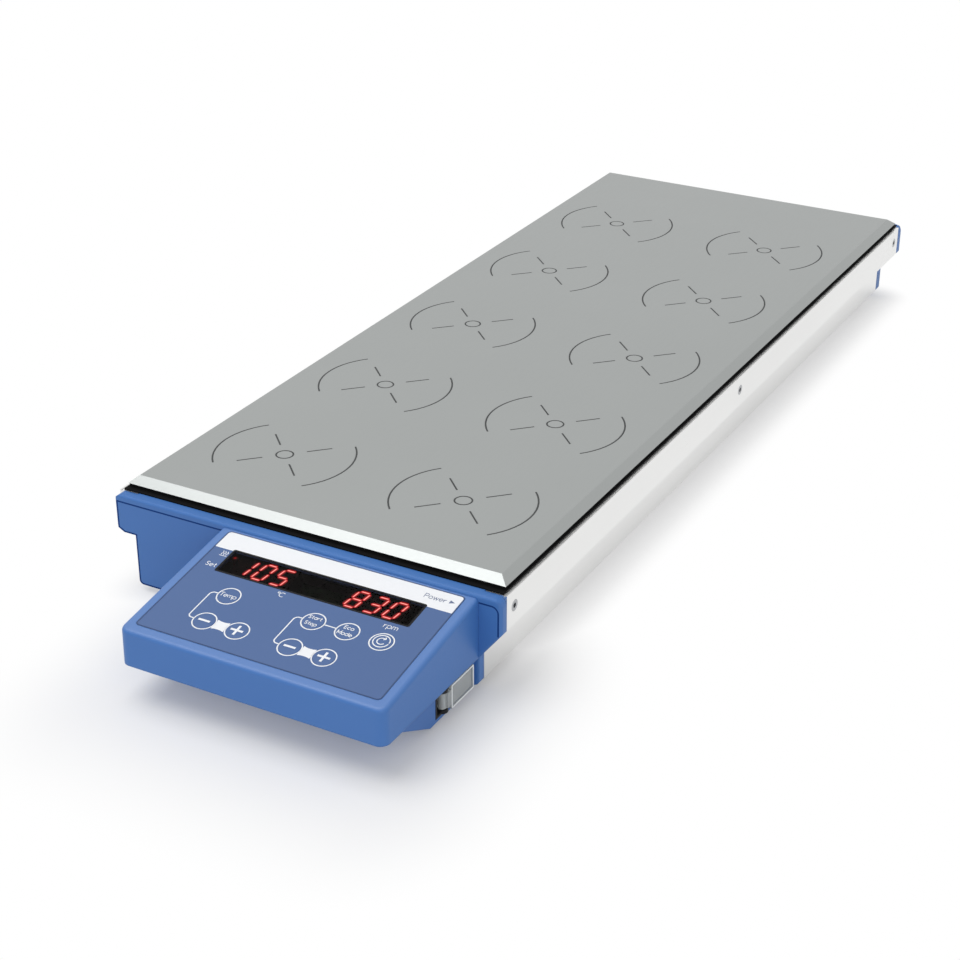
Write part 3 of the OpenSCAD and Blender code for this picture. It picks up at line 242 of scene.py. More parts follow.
floor_paint = bpy.data.materials.new("matt_white_sweep")
floor_paint.use_nodes = True
paint = floor_paint.node_tree
paint.nodes.clear()
matt = add(paint, "ShaderNodeBsdfDiffuse", {"Color": linear("#ECECED")})
glow = add(paint, "ShaderNodeEmission", {"Color": linear("#FFFFFF"), "Strength": 1.0})


def vector_math(operation, first, second=(0, 0, 0)):
    """Outputs of one vector operation in the floor's paint."""
    return add(paint, "ShaderNodeVectorMath", {0: first, 1: second}, operation=operation).outputs


# The footprint is two rectangles: the housing, as wide as the tray between its lower walls, and the console.
# How far a point lies outside a rectangle each way is a vector. Divided by the reach each way, its length is
# 1 where the floor is all white. The shadow is deeper and reaches further before the console, which
# overhangs, and the darker of the two counts
footprint = ((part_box("base_tray"), HOUSING_MELT), (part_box("console_shell"), CONSOLE_MELT))
melts = []
for (low, high), (close, *reach) in footprint:
    middle, half = (low + high) / 2, (high - low) / 2
    from_middle = vector_math("ABSOLUTE", vector_math("SUBTRACT", object_place(paint), (*middle.xy, 0))[0])[0]
    outside = vector_math("MAXIMUM", vector_math("SUBTRACT", from_middle, (*half.xy, 0))[0])[0]
    away = vector_math("LENGTH", vector_math("DIVIDE", outside, (*reach, 1))[0])["Value"]
    melts.append(add(paint, "ShaderNodeMapRange", {"Value": away, "From Min": MELT_START, "To Min": close},
                     interpolation_type="SMOOTHSTEP").outputs[0])
melt = add(paint, "ShaderNodeMath", {0: melts[0], 1: melts[1]}, operation="MINIMUM").outputs[0]
shows = add(paint, "ShaderNodeMath", {0: melt, 1: seen_directly(paint)}, operation="MULTIPLY").outputs[0]
sweep = add(paint, "ShaderNodeMixShader", {0: shows, 1: matt.outputs[0], 2: glow.outputs[0]})
add(paint, "ShaderNodeOutputMaterial", {"Surface": sweep.outputs[0]})

floor_mesh = bpy.data.meshes.new("floor")
corners = np.array([[-1, -1, 0], [1, -1, 0], [1, 1, 0], [-1, 1, 0]]) * FLOOR_HALF
floor_mesh.from_pydata((corners - [0, 0, FLOOR_DOWN_MM * MM]).tolist(), [], [(0, 1, 2, 3)])
floor_mesh.materials.append(floor_paint)
floor = bpy.data.objects.new("floor", floor_mesh)
scene.collection.objects.link(floor)
print("studio: dome, two softboxes and a floor of", 2 * FLOOR_HALF, "m")

# %% [markdown]
# Blue mouldings
#
# The end caps and the console are ABS from a spark-eroded mould: an even, very fine grain that breaks up
# the highlight, slightly cloudy colour, and edges rounded by 0.5 to 2 mm. The real grain is about 0.1 mm
# and too fine to show, so it is drawn at 0.5 mm. The rounded edges are worked out by a Bevel node, which
# leaves the solids' meshes alone. The caps' edges are rounder than the console's. How much a face reflects
# follows how far it looks up, which paints a paler sheen on the console's upper faces than on its sides.

# %% Moulded ABS
ABS_INDEX = 1.53
ABS_ROUGHNESS = (0.38, 0.52)
ABS_GRAIN_MM, ABS_GRAIN_DEEP_MM, ABS_RELIEF = 0.5, 0.05, 0.12
CLOUD_MM = 60
SIDE_SHEEN = 0.35
# Upward part of a face's normal: a side has at most the first, an upper face at least the second
LOOKS_ASIDE, LOOKS_UP = 0.5, 0.95


def moulded_abs(name, colour, shade, round_mm, upper_sheen):
    """Fine-grained ABS with edges rounded by that much, and a painted sheen of that level on upper faces."""
    material, tree, shader = new_finish(name, {"IOR": ABS_INDEX})
    # Painted sheen: the level of reflection rises with how far the face looks up
    normal = add(tree, "ShaderNodeNewGeometry").outputs["True Normal"]
    painted_sheen_level = add(tree, "ShaderNodeMapRange", {
        "Value": add(tree, "ShaderNodeSeparateXYZ", {0: normal}).outputs["Z"],
        "From Min": LOOKS_ASIDE, "From Max": LOOKS_UP, "To Min": SIDE_SHEEN, "To Max": upper_sheen,
    })
    tree.links.new(painted_sheen_level.outputs[0], shader.inputs["Specular IOR Level"])
    place = object_place(tree)
    two_tones(tree, shader, noise(tree, place, CLOUD_MM, detail=3), shade, colour)
    grain = noise(tree, place, ABS_GRAIN_MM, detail=2)
    uneven_gloss(tree, shader, grain, *ABS_ROUGHNESS)
    relief(tree, shader, grain, ABS_RELIEF, ABS_GRAIN_DEEP_MM, rounded_edges(tree, round_mm, samples=8))
    return material


# Two tones, radius of the edges in millimetres and level of reflection on upper faces
BLUE, BLUE_SHADE = "#4272B4", "#3E6DAE"
cap_abs = moulded_abs("moulded_abs_caps", BLUE, BLUE_SHADE, 2.0, 0.2)
console_abs = moulded_abs("moulded_abs_console", BLUE, BLUE_SHADE, 0.8, 0.8)
belly_abs = moulded_abs("moulded_abs_belly", "#3D6DB0", "#3A68AA", 0.5, 0.35)
print("three blue mouldings")

# %% [markdown]
# The steel plate
#
# The plate is stainless steel, ground along its length and then bead-blasted, so that it looks like plain
# grey satin: hardly any streaks, a wide soft reflection. Fine streaks of 0.4 mm along the plate vary the
# roughness a little, a slow cloud varies the grey, and the marks are a dark fired print set flush.

# %% Satin stainless steel
STREAK_LENGTH = 40  # how many times longer than wide a streak is
STREAK_DEEP_MM = 0.02
GLOSS_SPREAD = 0.05  # how far the roughness strays either way


def satin_metal(name, colour, shade, roughness, streak_mm, streak_strength):
    """A ground metal: noise stretched along Y varies its roughness and relief, a slow cloud its colour."""
    material, tree, shader = new_finish(name, {"Metallic": 1.0, "Roughness": roughness})
    place = object_place(tree)
    along = add(tree, "ShaderNodeMapping", {"Vector": place, "Scale": (1, 1 / STREAK_LENGTH, 1)}).outputs[0]
    streak = noise(tree, along, streak_mm, detail=3)
    two_tones(tree, shader, noise(tree, place, CLOUD_MM, detail=2), shade, colour)
    uneven_gloss(tree, shader, streak, roughness - GLOSS_SPREAD, roughness + GLOSS_SPREAD)
    relief(tree, shader, streak, streak_strength, STREAK_DEEP_MM)
    return material


# Two tones, roughness, width of a streak in millimetres and strength of its relief
plate_steel = satin_metal("satin_stainless_steel", "#A2A5A4", "#9FA2A1", 0.38, 0.4, 0.10)
rail_aluminium = satin_metal("anodised_aluminium", "#EBEBEA", "#E6E6E5", 0.30, 0.6, 0.08)
sheet_aluminium = satin_metal("mill_finish_aluminium", "#D9DADB", "#CFD0D1", 0.36, 0.5, 0.15)
screw_steel = satin_metal("zinc_plated_steel", "#B4B6B8", "#9EA0A3", 0.30, 0.3, 0.10)
print("four satin metals")

# %% [markdown]
# Plain finishes
#
# The seal, the feet, the black mouldings and all that is closed up inside need less: two close tones in a
# noise of the right size, with a little relief from the same noise. A table gives each finish its two
# colours, the size of its grain, its roughness, how metallic it is, how strong its relief is and how much
# its surface reflects: rubber hardly any, so that it stays black.

# %% Mottled finishes
MOTTLED_ROUND_MM, MOTTLED_DEEP_MM = 0.2, 0.1
MOTTLED = {
    "black_silicone_rubber": ("#060607", "#0A0A0B", 1.5, 0.75, 0.0, 0.10, 0.10),
    "fired_black_print": ("#343636", "#3C3E3E", 0.6, 0.60, 0.0, 0.05, 0.40),
    "moulded_black_nylon": ("#111214", "#18191B", 0.6, 0.48, 0.0, 0.10, 0.25),
    "polished_black_abs": ("#1A1B1D", "#202123", 2.0, 0.22, 0.0, 0.02, 0.50),
    "moulded_rubber": ("#1B1B1C", "#232324", 0.8, 0.80, 0.0, 0.20, 0.20),
    "nickel_plated_brass": ("#CDBB86", "#BBA870", 0.5, 0.30, 1.0, 0.05, 0.50),
    "enamelled_copper_wire": ("#B5673A", "#9C5228", 0.7, 0.35, 1.0, 0.40, 0.50),
    "laminated_soft_iron": ("#5B5C5E", "#4B4C4F", 0.5, 0.50, 1.0, 0.25, 0.50),
    "solder_masked_board": ("#1D5A38", "#184C30", 1.2, 0.40, 0.0, 0.10, 0.50),
    "amber_polyimide_film": ("#B06A2C", "#9C5A22", 3.0, 0.28, 0.0, 0.05, 0.50),
    "ceramic_fibre_felt": ("#D8D2C2", "#C6BFAD", 0.9, 0.95, 0.0, 0.60, 0.20),
    "red_epoxy": ("#4A0E10", "#3C0A0C", 1.0, 0.35, 0.0, 0.02, 0.40),
    "cable_pvc": ("#3A3B3E", "#303134", 1.0, 0.55, 0.0, 0.10, 0.40),
    "black_screen_print": ("#0E0E10", "#121214", 0.6, 0.50, 0.0, 0.02, 0.15),
    # Painted shade: a dark line that stands for the shade in a groove
    "painted_groove_shade": ("#1C3F7C", "#193A74", 0.8, 0.60, 0.0, 0.02, 0.05),
    # Painted light: a pale line that stands for light leaving a clear edge
    "painted_clear_edge_light": ("#F1F4F5", "#E4E8EA", 0.8, 0.25, 0.0, 0.02, 0.60),
}


def mottled(name, colour, shade, grain_mm, roughness, metallic, strength, specular):
    """Two tones mixed by one noise, which also gives the relief."""
    material, tree, shader = new_finish(name, {
        "Roughness": roughness, "Metallic": metallic, "Specular IOR Level": specular,
    })
    grain = noise(tree, object_place(tree), grain_mm, detail=3)
    two_tones(tree, shader, grain, shade, colour)
    relief(tree, shader, grain, strength, MOTTLED_DEEP_MM, rounded_edges(tree, MOTTLED_ROUND_MM, samples=4))
    return material


plain = {name: mottled(name, *values) for name, values in MOTTLED.items()}
print(len(plain), "mottled finishes")

# %% [markdown]
# Films, windows and light
#
# The keypad is printed polyester film: a satin surface with a fine even texture over a greyed blue print.
# The display window is dark tinted acrylic with a coated surface that hardly mirrors the room, so its index
# is set low. The switch's flap is clear but a little milky. Lit segments shine by themselves: palest along
# the middle, red beside it, and fading into a dark glow at the edge.

# %% Film, acrylic and lit plastic
FILM_INDEX, FILM_SHEEN = 1.58, 0.4
FILM_GRAIN_MM, FILM_GRAIN_DEEP_MM, FILM_RELIEF = 0.6, 0.03, 0.06
FILM_SPREAD = 0.06  # how far the film's roughness strays either way
WAVY_MM, WAVY_DEEP_MM, WAVY_RELIEF = 8, 0.05, 0.04
RED_SPAN, PALE_SPAN = (0.18, 0.76), (0.72, 1.0)  # nearness to the middle at which each colour comes in


def printed_film(name, colour, shade, roughness):
    """Satin film: a slow change of tone over the film, with a fine texture in its roughness and relief."""
    sockets = {"Roughness": roughness, "IOR": FILM_INDEX, "Specular IOR Level": FILM_SHEEN}
    material, tree, shader = new_finish(name, sockets)
    place = object_place(tree)
    two_tones(tree, shader, noise(tree, place, CLOUD_MM, detail=1), shade, colour)
    grain = noise(tree, place, FILM_GRAIN_MM, detail=2)
    uneven_gloss(tree, shader, grain, roughness - FILM_SPREAD, roughness + FILM_SPREAD)
    relief(tree, shader, grain, FILM_RELIEF, FILM_GRAIN_DEEP_MM)
    return material


def clear_plastic(name, colour, roughness, index, clear):
    """Tinted plastic whose surface is very slightly wavy. A share of it is clear, and the rest is milky."""
    material, tree, shader = new_finish(name, {
        "Base Color": linear(colour), "Roughness": roughness, "IOR": index, "Transmission Weight": clear,
    })
    relief(tree, shader, noise(tree, object_place(tree), WAVY_MM, detail=1), WAVY_RELIEF, WAVY_DEEP_MM)
    return material


def lit_plastic(name, core, edge, glow, strength):
    """Shining plastic: the mesh attribute core is 1 along a segment's middle and 0 at its edges."""
    material, tree, shader = new_finish(name, {
        "Base Color": linear(glow), "Roughness": 0.5, "Emission Strength": strength,
    })
    middle = add(tree, "ShaderNodeAttribute", attribute_name="core").outputs["Fac"]
    shine = linear(glow)
    for colour, (start, end) in ((edge, RED_SPAN), (core, PALE_SPAN)):
        blend = add(tree, "ShaderNodeMapRange", {"Value": middle, "From Min": start, "From Max": end},
                    interpolation_type="SMOOTHSTEP")
        shine = mixed(tree, blend.outputs[0], shine, linear(colour))
    tree.links.new(shine, shader.inputs["Emission Color"])
    return material


# A film or ink has two tones and a roughness; a clear plastic a tone, roughness, index and clear share
overlay_film = printed_film("printed_polyester_film", "#3F5F92", "#3B5A8D", 0.40)
white_ink = printed_film("white_screen_print", "#EBEDF0", "#E7E9ED", 0.45)
navy_ink = printed_film("grey_blue_screen_print", "#5E6C8C", "#586684", 0.45)
# The edge ink is painted shadow, for the shade along the film's edge
edge_shadow_ink = printed_film("painted_film_edge_shadow", "#27426F", "#233C66", 0.5)
window_acrylic = clear_plastic("dark_tinted_acrylic", "#8A7472", 0.03, 1.10, 1.0)
flap_plastic = clear_plastic("clear_moulded_polycarbonate", "#D5DADB", 0.12, 1.40, 0.6)
lit_red = lit_plastic("lit_red_diffuser", "#FFB6AC", "#AA1A21", "#2C0404", 2.8)
print("film, ink, acrylic and light ready")

# %% [markdown]
# Dressing the solids
#
# Every solid node keeps its shape and only gets its finish. What is sealed inside is dressed too, because
# the part may be taken apart.

# %% Finishes of the solid nodes
KEY_NODES = sorted(name for name in frame["nodes"] if name.startswith("key_"))
DRESS = [
    (plate_steel, ["top_plate"]),
    (rail_aluminium, ["side_rail_left", "side_rail_right"]),
    (sheet_aluminium, ["base_tray", "yoke_brackets", "supply_heatsink"]),
    (screw_steel, ["foot_screws", "side_screws", "console_screws", "cover_screws", "board_screws",
                   "rocker_pin", "flap_pin", "plate_sensor", "mains_fuse"]),
    (cap_abs, ["front_end_cap", "rear_end_cap"]),
    (console_abs, ["console_shell"]),
    (belly_abs, ["console_cover"]),
    (overlay_film, ["keypad_overlay", *KEY_NODES]),
    (window_acrylic, ["display_window"]),
    (flap_plastic, ["switch_flap"]),
    (lit_red, ["digit_segments"]),
    (plain["red_epoxy"], ["status_lamp"]),
    (plain["black_silicone_rubber"], ["plate_seal"]),
    (plain["fired_black_print"], ["position_marks"]),
    (plain["moulded_black_nylon"], ["digit_modules", "switch_frame", "mains_inlet", "driver_modules",
                                    "controller_chip", "ribbon_headers", "thermal_cutout",
                                    "smoothing_capacitors", "tact_switches"]),
    (plain["polished_black_abs"], ["power_rocker"]),
    (plain["moulded_rubber"], ["feet"]),
    (plain["nickel_plated_brass"], ["inlet_blades", "yoke_spacers", "board_spacers"]),
    (plain["enamelled_copper_wire"], ["coil_windings"]),
    (plain["laminated_soft_iron"], ["coil_cores", "yoke_plate", "mains_transformer"]),
    (plain["solder_masked_board"], ["drive_board", "supply_board", "display_board"]),
    (plain["amber_polyimide_film"], ["heater_foil"]),
    (plain["ceramic_fibre_felt"], ["insulation_sheet"]),
    (plain["cable_pvc"], ["wiring_loom", "ribbon_cable"]),
]
for finish, names in DRESS:
    for name in names:
        frame["nodes"][name].material_slots[0].material = finish
dressed = {name for _, names in DRESS for name in names}
print(len(dressed), "nodes dressed, left over:", sorted(set(frame["nodes"]) - dressed))

# %% [markdown]
# The panel's own coordinates
#
# All print lies on the sloped film, so it is drawn in the film's own flat coordinates: u across from the
# film's middle, v up the slope from its front edge and h out of it, all in millimetres. The slope comes
# from the direction in which the keys are pressed, and the film's edges from its own solid.


# %% Panel coordinates
def points_of(node):
    """All corner points of a solid node, one row each, in metres."""
    mesh = frame["nodes"][node].data
    flat = np.empty(3 * len(mesh.vertices), np.float32)
    mesh.vertices.foreach_get("co", flat)
    return flat.reshape(-1, 3).astype(float)


press = next(joint for joint in frame["joints"] if joint["name"] == "key_temp_press")
OUT = -np.array(press["axis"]) / np.linalg.norm(press["axis"])
ACROSS = np.array([1.0, 0.0, 0.0])
UP = np.cross(OUT, ACROSS)
PANEL = np.stack([ACROSS, UP, OUT])

film = points_of("keypad_overlay") @ PANEL.T
film_low, film_high = film.min(0), film.max(0)
film_origin = np.array([(film_low[0] + film_high[0]) / 2, film_low[1], film_high[2]])
FILM_HALF = (film_high[0] - film_low[0]) / 2 / MM
FILM_UP = (film_high[1] - film_low[1]) / MM


def on_panel(points):
    """Frame points, in metres, of panel points (u, v, h) in millimetres."""
    return (np.asarray(points, float) * MM + film_origin) @ PANEL


def panel_box(node):
    """Lowest and highest (u, v, h) of a solid node, in millimetres."""
    found = (points_of(node) @ PANEL.T - film_origin) / MM
    return found.min(0), found.max(0)


key_place = {name: sum(panel_box(name))[:2] / 2 for name in KEY_NODES}
print("film", round(2 * FILM_HALF, 1), "by", round(FILM_UP, 1), "mm")
print("first key at", key_place["key_temp"].round(1))

# %% [markdown]
# Bars and slabs
#
# Print is a very thin layer, and each mark is one of two shapes: a bar carried along a path, for rings,
# lines and letters, or a slab with an outline, for filled fields. Both are closed solids, so they stay
# sound when they are exported. Arrays hold all the points of a shape at once.


# %% Shapes for print
ARC_STEP = 10  # degrees between the points of an arc
INK_LOW, INK_HIGH = 0.005, 0.035  # millimetres from the film to the print's underside and top


def arc(centre, radius, start, end):
    """Points on a circle from one angle to another, in degrees, about a step apart."""
    steps = max(3, int(abs(end - start) / ARC_STEP) + 1)
    angle = np.radians(np.linspace(start, end, steps))
    return np.asarray(centre) + radius * np.stack([np.cos(angle), np.sin(angle)], 1)


def circle(centre, radius):
    """A full circle without its repeated last point, for a closed bar."""
    return arc(centre, radius, 0, 360 - ARC_STEP)


def unit(rows):
    """Each row divided by its length."""
    return rows / np.linalg.norm(rows, axis=1, keepdims=True)


def bar(path, width, low, high, closed=False):
    """A flat bar along a path. Its two edges lie half a width to either side of each point, square to the
    mean of the two runs that meet there and further out by one over the cosine of half the bend, so that
    the bar keeps its width. Returns points (u, v, h) and faces."""
    path = np.asarray(path, float)
    if closed:
        ahead = unit(np.roll(path, -1, 0) - path)
        behind = np.roll(ahead, 1, 0)
    else:
        runs = unit(np.diff(path, axis=0))
        ahead = np.vstack([runs, runs[-1:]])
        behind = np.vstack([runs[:1], runs])
    mean = unit(ahead + behind)
    half = np.broadcast_to(np.asarray(width, float) / 2, len(path)) / (mean * ahead).sum(1)
    side = np.stack([-mean[:, 1], mean[:, 0]], 1) * half[:, None]
    edges = [(path - side, high), (path + side, high), (path + side, low), (path - side, low)]
    ring = np.stack([np.column_stack([flat, np.full(len(path), h)]) for flat, h in edges], 1)
    return tube(ring, closed)


def tube(ring, closed=False):
    """Closes rows of points, one row for each section, into a tube. Returns points and faces."""
    rows, count = ring.shape[:2]
    index = np.arange(rows * count).reshape(rows, count)
    here, there = index, np.roll(index, -1, 0)
    quads = np.stack([here, there, np.roll(there, -1, 1), np.roll(here, -1, 1)], -1)
    faces = (quads if closed else quads[:-1]).reshape(-1, 4).tolist()
    if not closed:
        faces += [index[0].tolist(), index[-1][::-1].tolist()]
    return ring.reshape(-1, 3), faces


def slab(outline, low, high):
    """A filled field: its outline, anticlockwise, at two heights, with walls between them."""
    outline = np.asarray(outline, float)
    count = len(outline)
    points = np.vstack([np.column_stack([outline, np.full(count, h)]) for h in (low, high)])
    below, above = np.arange(count), np.arange(count) + count
    walls = np.stack([below, np.roll(below, -1), np.roll(above, -1), above], 1).tolist()
    return points, walls + [above.tolist(), below[::-1].tolist()]


def gather(shapes):
    """Several shapes as one: all their points, and their faces counted on from each other."""
    starts = np.cumsum([0] + [len(points) for points, _ in shapes])
    faces = [[corner + start for corner in face] for start, (_, some) in zip(starts.tolist(), shapes)
             for face in some]
    return np.vstack([points for points, _ in shapes]), faces


def laid(points, origin, across, up):
    """Frame points, in metres, of points (u, v, h), in millimetres, on a flat face with those axes."""
    axes = np.stack([across, up, np.cross(across, up)])
    return np.asarray(points, float) * MM @ axes + origin


def make_piece(name, points, faces, finish, body):
    """A mesh at the origin with those points, in metres, that rides on a body."""
    mesh = bpy.data.meshes.new(name)
    mesh.from_pydata(np.asarray(points).tolist(), [], faces)
    mesh.materials.append(finish)
    piece = bpy.data.objects.new(name, mesh)
    scene.collection.objects.link(piece)
    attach(piece, body)
    return piece


print("a bar ring has", len(bar(circle((0, 0), 1), 0.2, INK_LOW, INK_HIGH, True)[0]), "points")

# %% [markdown]
# The white band and the painted edge shadow
#
# The top of the film is a white band with the film's round corners. The window reaches into its lower
# edge, so the band steps round it. The print also rounds the window's four corners off: the band the upper
# two, small fillets in the film's own colour the lower two. Inside them a black frame is printed on the
# window, as on most displays, and hides what lies beside the digits. A thin dark line along the film's
# edge is painted shadow, for the shade that gathers where the film sits in its recess.

# %% Band and edge line
BAND_LOW = 54.9
WINDOW_CORNER = 0.9
MASK_LINE = 0.9
FILM_CORNER = 2.0
EDGE_SHADOW_LINE = 0.5

window_low, window_high = panel_box("display_window")
(left, low), (right, high) = window_low[:2], window_high[:2]
in_left, in_right, in_low, in_high = (left + WINDOW_CORNER, right - WINDOW_CORNER,
                                      low + WINDOW_CORNER, high - WINDOW_CORNER)
corner_u, corner_v = FILM_HALF - FILM_CORNER, FILM_UP - FILM_CORNER
band_outline = np.vstack([
    [(-FILM_HALF, BAND_LOW), (left, BAND_LOW)],
    arc((in_left, in_high), WINDOW_CORNER, 180, 90),
    arc((in_right, in_high), WINDOW_CORNER, 90, 0),
    [(right, BAND_LOW), (FILM_HALF, BAND_LOW)],
    arc((corner_u, corner_v), FILM_CORNER, 0, 90),
    arc((-corner_u, corner_v), FILM_CORNER, 90, 180),
])
points, faces = slab(band_outline, INK_LOW, INK_HIGH)
make_piece("panel_band", on_panel(points), faces, white_ink, "stirrer")

fillets = [np.vstack([[(left, low)], arc((in_left, in_low), WINDOW_CORNER, 270, 180)]),
           np.vstack([[(right, low)], arc((in_right, in_low), WINDOW_CORNER, 0, -90)])]
points, faces = gather([slab(outline, INK_LOW, INK_HIGH) for outline in fillets])
make_piece("panel_window_fillets", on_panel(points), faces, overlay_film, "stirrer")


def rounded_loop(half_u, low_v, high_v, radius):
    """A rectangle with round corners, anticlockwise from its right front corner."""
    u = half_u - radius
    return np.vstack([
        arc((u, low_v + radius), radius, -90, 0), arc((u, high_v - radius), radius, 0, 90),
        arc((-u, high_v - radius), radius, 90, 180), arc((-u, low_v + radius), radius, 180, 270),
    ])


inset = MASK_LINE / 2
mask_path = rounded_loop((right - left) / 2 - inset, low + inset, high - inset, WINDOW_CORNER - inset)
points, faces = bar(mask_path + ((left + right) / 2, 0), MASK_LINE, INK_LOW, INK_HIGH / 2, closed=True)
make_piece("panel_window_mask", on_panel(points), faces, plain["black_screen_print"],
           "stirrer")

inset = EDGE_SHADOW_LINE / 2
edge_path = rounded_loop(FILM_HALF - inset, inset, FILM_UP - inset, FILM_CORNER - inset)
# Painted shadow: a thin dark line along the film's edge
points, faces = bar(edge_path, EDGE_SHADOW_LINE, INK_LOW, 2 * INK_HIGH, closed=True)
make_piece("panel_painted_edge_shadow", on_panel(points), faces, edge_shadow_ink, "stirrer")
print("band from v =", BAND_LOW, "to", round(FILM_UP, 1), "mm")

# %% [markdown]
# Rings and links
#
# Each key sits in a white ring. Links show which keys belong together: a bracket from a value's key down
# to its minus key, a thick bar between minus and plus, and a short line between two mode keys. All are
# bars of white ink.

# %% Key rings and links
RING_RADIUS = 4.90
RING_LINE = 0.54
LINK_LINE = 0.52
BRACKET_OUT = 8.1
BRACKET_CORNER = 1.8
JOIN_WIDTH = (5.6, 4.8, 4.6, 4.8, 5.6)


def bracket(upper, lower):
    """From an upper key's ring out to the left, down, and back to a lower key's ring, with round corners."""
    u, top, low = upper[0] - BRACKET_OUT, upper[1], lower[1]
    r = BRACKET_CORNER
    return np.vstack([
        [(upper[0] - RING_RADIUS, top)],
        arc((u + r, top - r), r, 90, 180),
        arc((u + r, low + r), r, 180, 270),
        [(lower[0] - RING_RADIUS, low)],
    ])


def across(left_key, right_key, steps=2):
    """A straight path from the right of one key's ring to the left of the next one's."""
    start = key_place[left_key] + [RING_RADIUS, 0]
    end = key_place[right_key] - [RING_RADIUS, 0]
    return np.linspace(start, end, steps)


ink = [bar(circle(at, RING_RADIUS), RING_LINE, INK_LOW, INK_HIGH, True) for at in key_place.values()]
for upper, lower in (("key_temp", "key_temp_minus"), ("key_start_stop", "key_speed_minus")):
    ink.append(bar(bracket(key_place[upper], key_place[lower]), LINK_LINE, INK_LOW, INK_HIGH))
for minus, plus in (("key_temp_minus", "key_temp_plus"), ("key_speed_minus", "key_speed_plus")):
    ink.append(bar(across(minus, plus, len(JOIN_WIDTH)), JOIN_WIDTH, INK_LOW, INK_HIGH))
ink.append(bar(across("key_start_stop", "key_eco"), LINK_LINE, INK_LOW, INK_HIGH))
points, faces = gather(ink)
make_piece("panel_key_rings", on_panel(points), faces, white_ink, "stirrer")
print(len(ink), "rings and links")

# %% [markdown]
# Words and signs
#
# Lettering is drawn with strokes, as a pen plotter would. A table gives each letter its width with the gap
# after it, and its paths, all in units of a capital's height. The words are plain ones for what a key
# does or a reading shows, and the units stand under the two readings. Three waves over a line stand for
# the heated plate.

# %% Words beside the keys
SIGN_LINE = 0.29
LETTER_GAP = 0.2
RING_POINTS = 8  # a path with more points than this, whose ends nearly meet, is a ring
WAVE_SWING, WAVE_APART, WAVE_TURN = 0.3, 1.1, 3.6  # the last in radians to a millimetre
POWER_AT, ARROW_AT = (45.3, 60.9), (51.6, 60.9)
ARROW_LONG, ARROW_HALF = 2.3, 1.0
BOWL = circle((0.33, 0.33), 0.33)
FIRST_ARCH = np.vstack([[(0, 0.36)], arc((0.22, 0.44), 0.22, 180, 0), [(0.44, 0)]])
LETTERS = {
    "C": (1.0, [arc((0.45, 0.5), 0.48, 50, 310)]),
    "E": (0.75, [[(0.55, 1), (0, 1), (0, 0), (0.55, 0)], [(0, 0.52), (0.48, 0.52)]]),
    "M": (1.04, [[(0, 0), (0, 1), (0.42, 0.3), (0.84, 1), (0.84, 0)]]),
    "P": (0.84, [np.vstack([[(0, 0), (0, 1)], arc((0.38, 0.74), 0.26, 90, -90), [(0, 0.48)]])]),
    "S": (0.78, [np.vstack([arc((0.28, 0.75), 0.25, 20, 270), arc((0.28, 0.25), 0.25, 90, -160)[1:]])]),
    "T": (0.85, [[(0, 1), (0.7, 1)], [(0.35, 1), (0.35, 0)]]),
    "a": (0.86, [BOWL, [(0.66, 0.68), (0.66, 0)]]),
    "c": (0.80, [arc((0.33, 0.33), 0.33, 50, 310)]),
    "d": (0.86, [BOWL, [(0.66, 1), (0.66, 0)]]),
    "e": (0.86, [np.vstack([[(0, 0.33)], arc((0.33, 0.33), 0.33, 0, 310)])]),
    "m": (1.08, [[(0, 0), (0, 0.68)], FIRST_ARCH, FIRST_ARCH + (0.44, 0)]),
    "o": (0.86, [BOWL]),
    "p": (0.86, [BOWL, [(0, 0.68), (0, -0.35)]]),
    "r": (0.60, [[(0, 0.68), (0, 0)], [(0, 0.3), (0.12, 0.56), (0.4, 0.66)]]),
    "t": (0.62, [[(0.2, 0.95), (0.2, 0.12), (0.42, 0)], [(0, 0.66), (0.42, 0.66)]]),
    "w": (1.08, [[(0, 0.68), (0.22, 0), (0.44, 0.6), (0.66, 0), (0.88, 0.68)]]),
    "\u00b0": (0.5, [circle((0.18, 0.82), 0.16)]),
}


def word(text, height):
    """A word's paths round its middle: each letter starts where the widths of those before it end."""
    widths = np.array([LETTERS[letter][0] for letter in text])
    starts = np.cumsum(widths) - widths - (widths.sum() - LETTER_GAP) / 2
    return [(np.asarray(path, float) + (start, -0.5)) * height
            for letter, start in zip(text, starts) for path in LETTERS[letter][1]]


def moved(paths, at):
    """Paths shifted by a vector."""
    return [np.asarray(path, float) + at for path in paths]


wave_v = np.linspace(-0.9, 1.5, 13)  # heights of a wave's points
WAVES = [np.column_stack([shift + WAVE_SWING * np.sin(wave_v * WAVE_TURN), wave_v])
         for shift in (-WAVE_APART, 0, WAVE_APART)]
HEATED_PLATE = WAVES + [[(-1.8, -1.5), (1.8, -1.5)]]
# Each sign, a word with its height in millimetres, and where its middle lies on the panel
WHITE_SIGNS = [
    (word("\u00b0C", 2.6), (-12.9, 38.5)), (word("rpm", 2.6), (38.2, 38.6)),
    (HEATED_PLATE, (-49.2, 52.1)), (word("Set", 2.3), (-50.3, 44.1)),
]


def strokes(paths, at, low=INK_LOW, high=INK_HIGH, line=SIGN_LINE):
    """Bars for all the paths of a sign. A path that ends near its start is closed."""
    shapes = []
    for path in moved(paths, at):
        closed = len(path) > RING_POINTS and np.linalg.norm(path[0] - path[-1]) < line
        shapes.append(bar(path, line, low, high, closed))
    return shapes


white_signs = [stroke for paths, at in WHITE_SIGNS for stroke in strokes(paths, at)]
points, faces = gather(white_signs)
make_piece("panel_signs", on_panel(points), faces, white_ink, "stirrer")

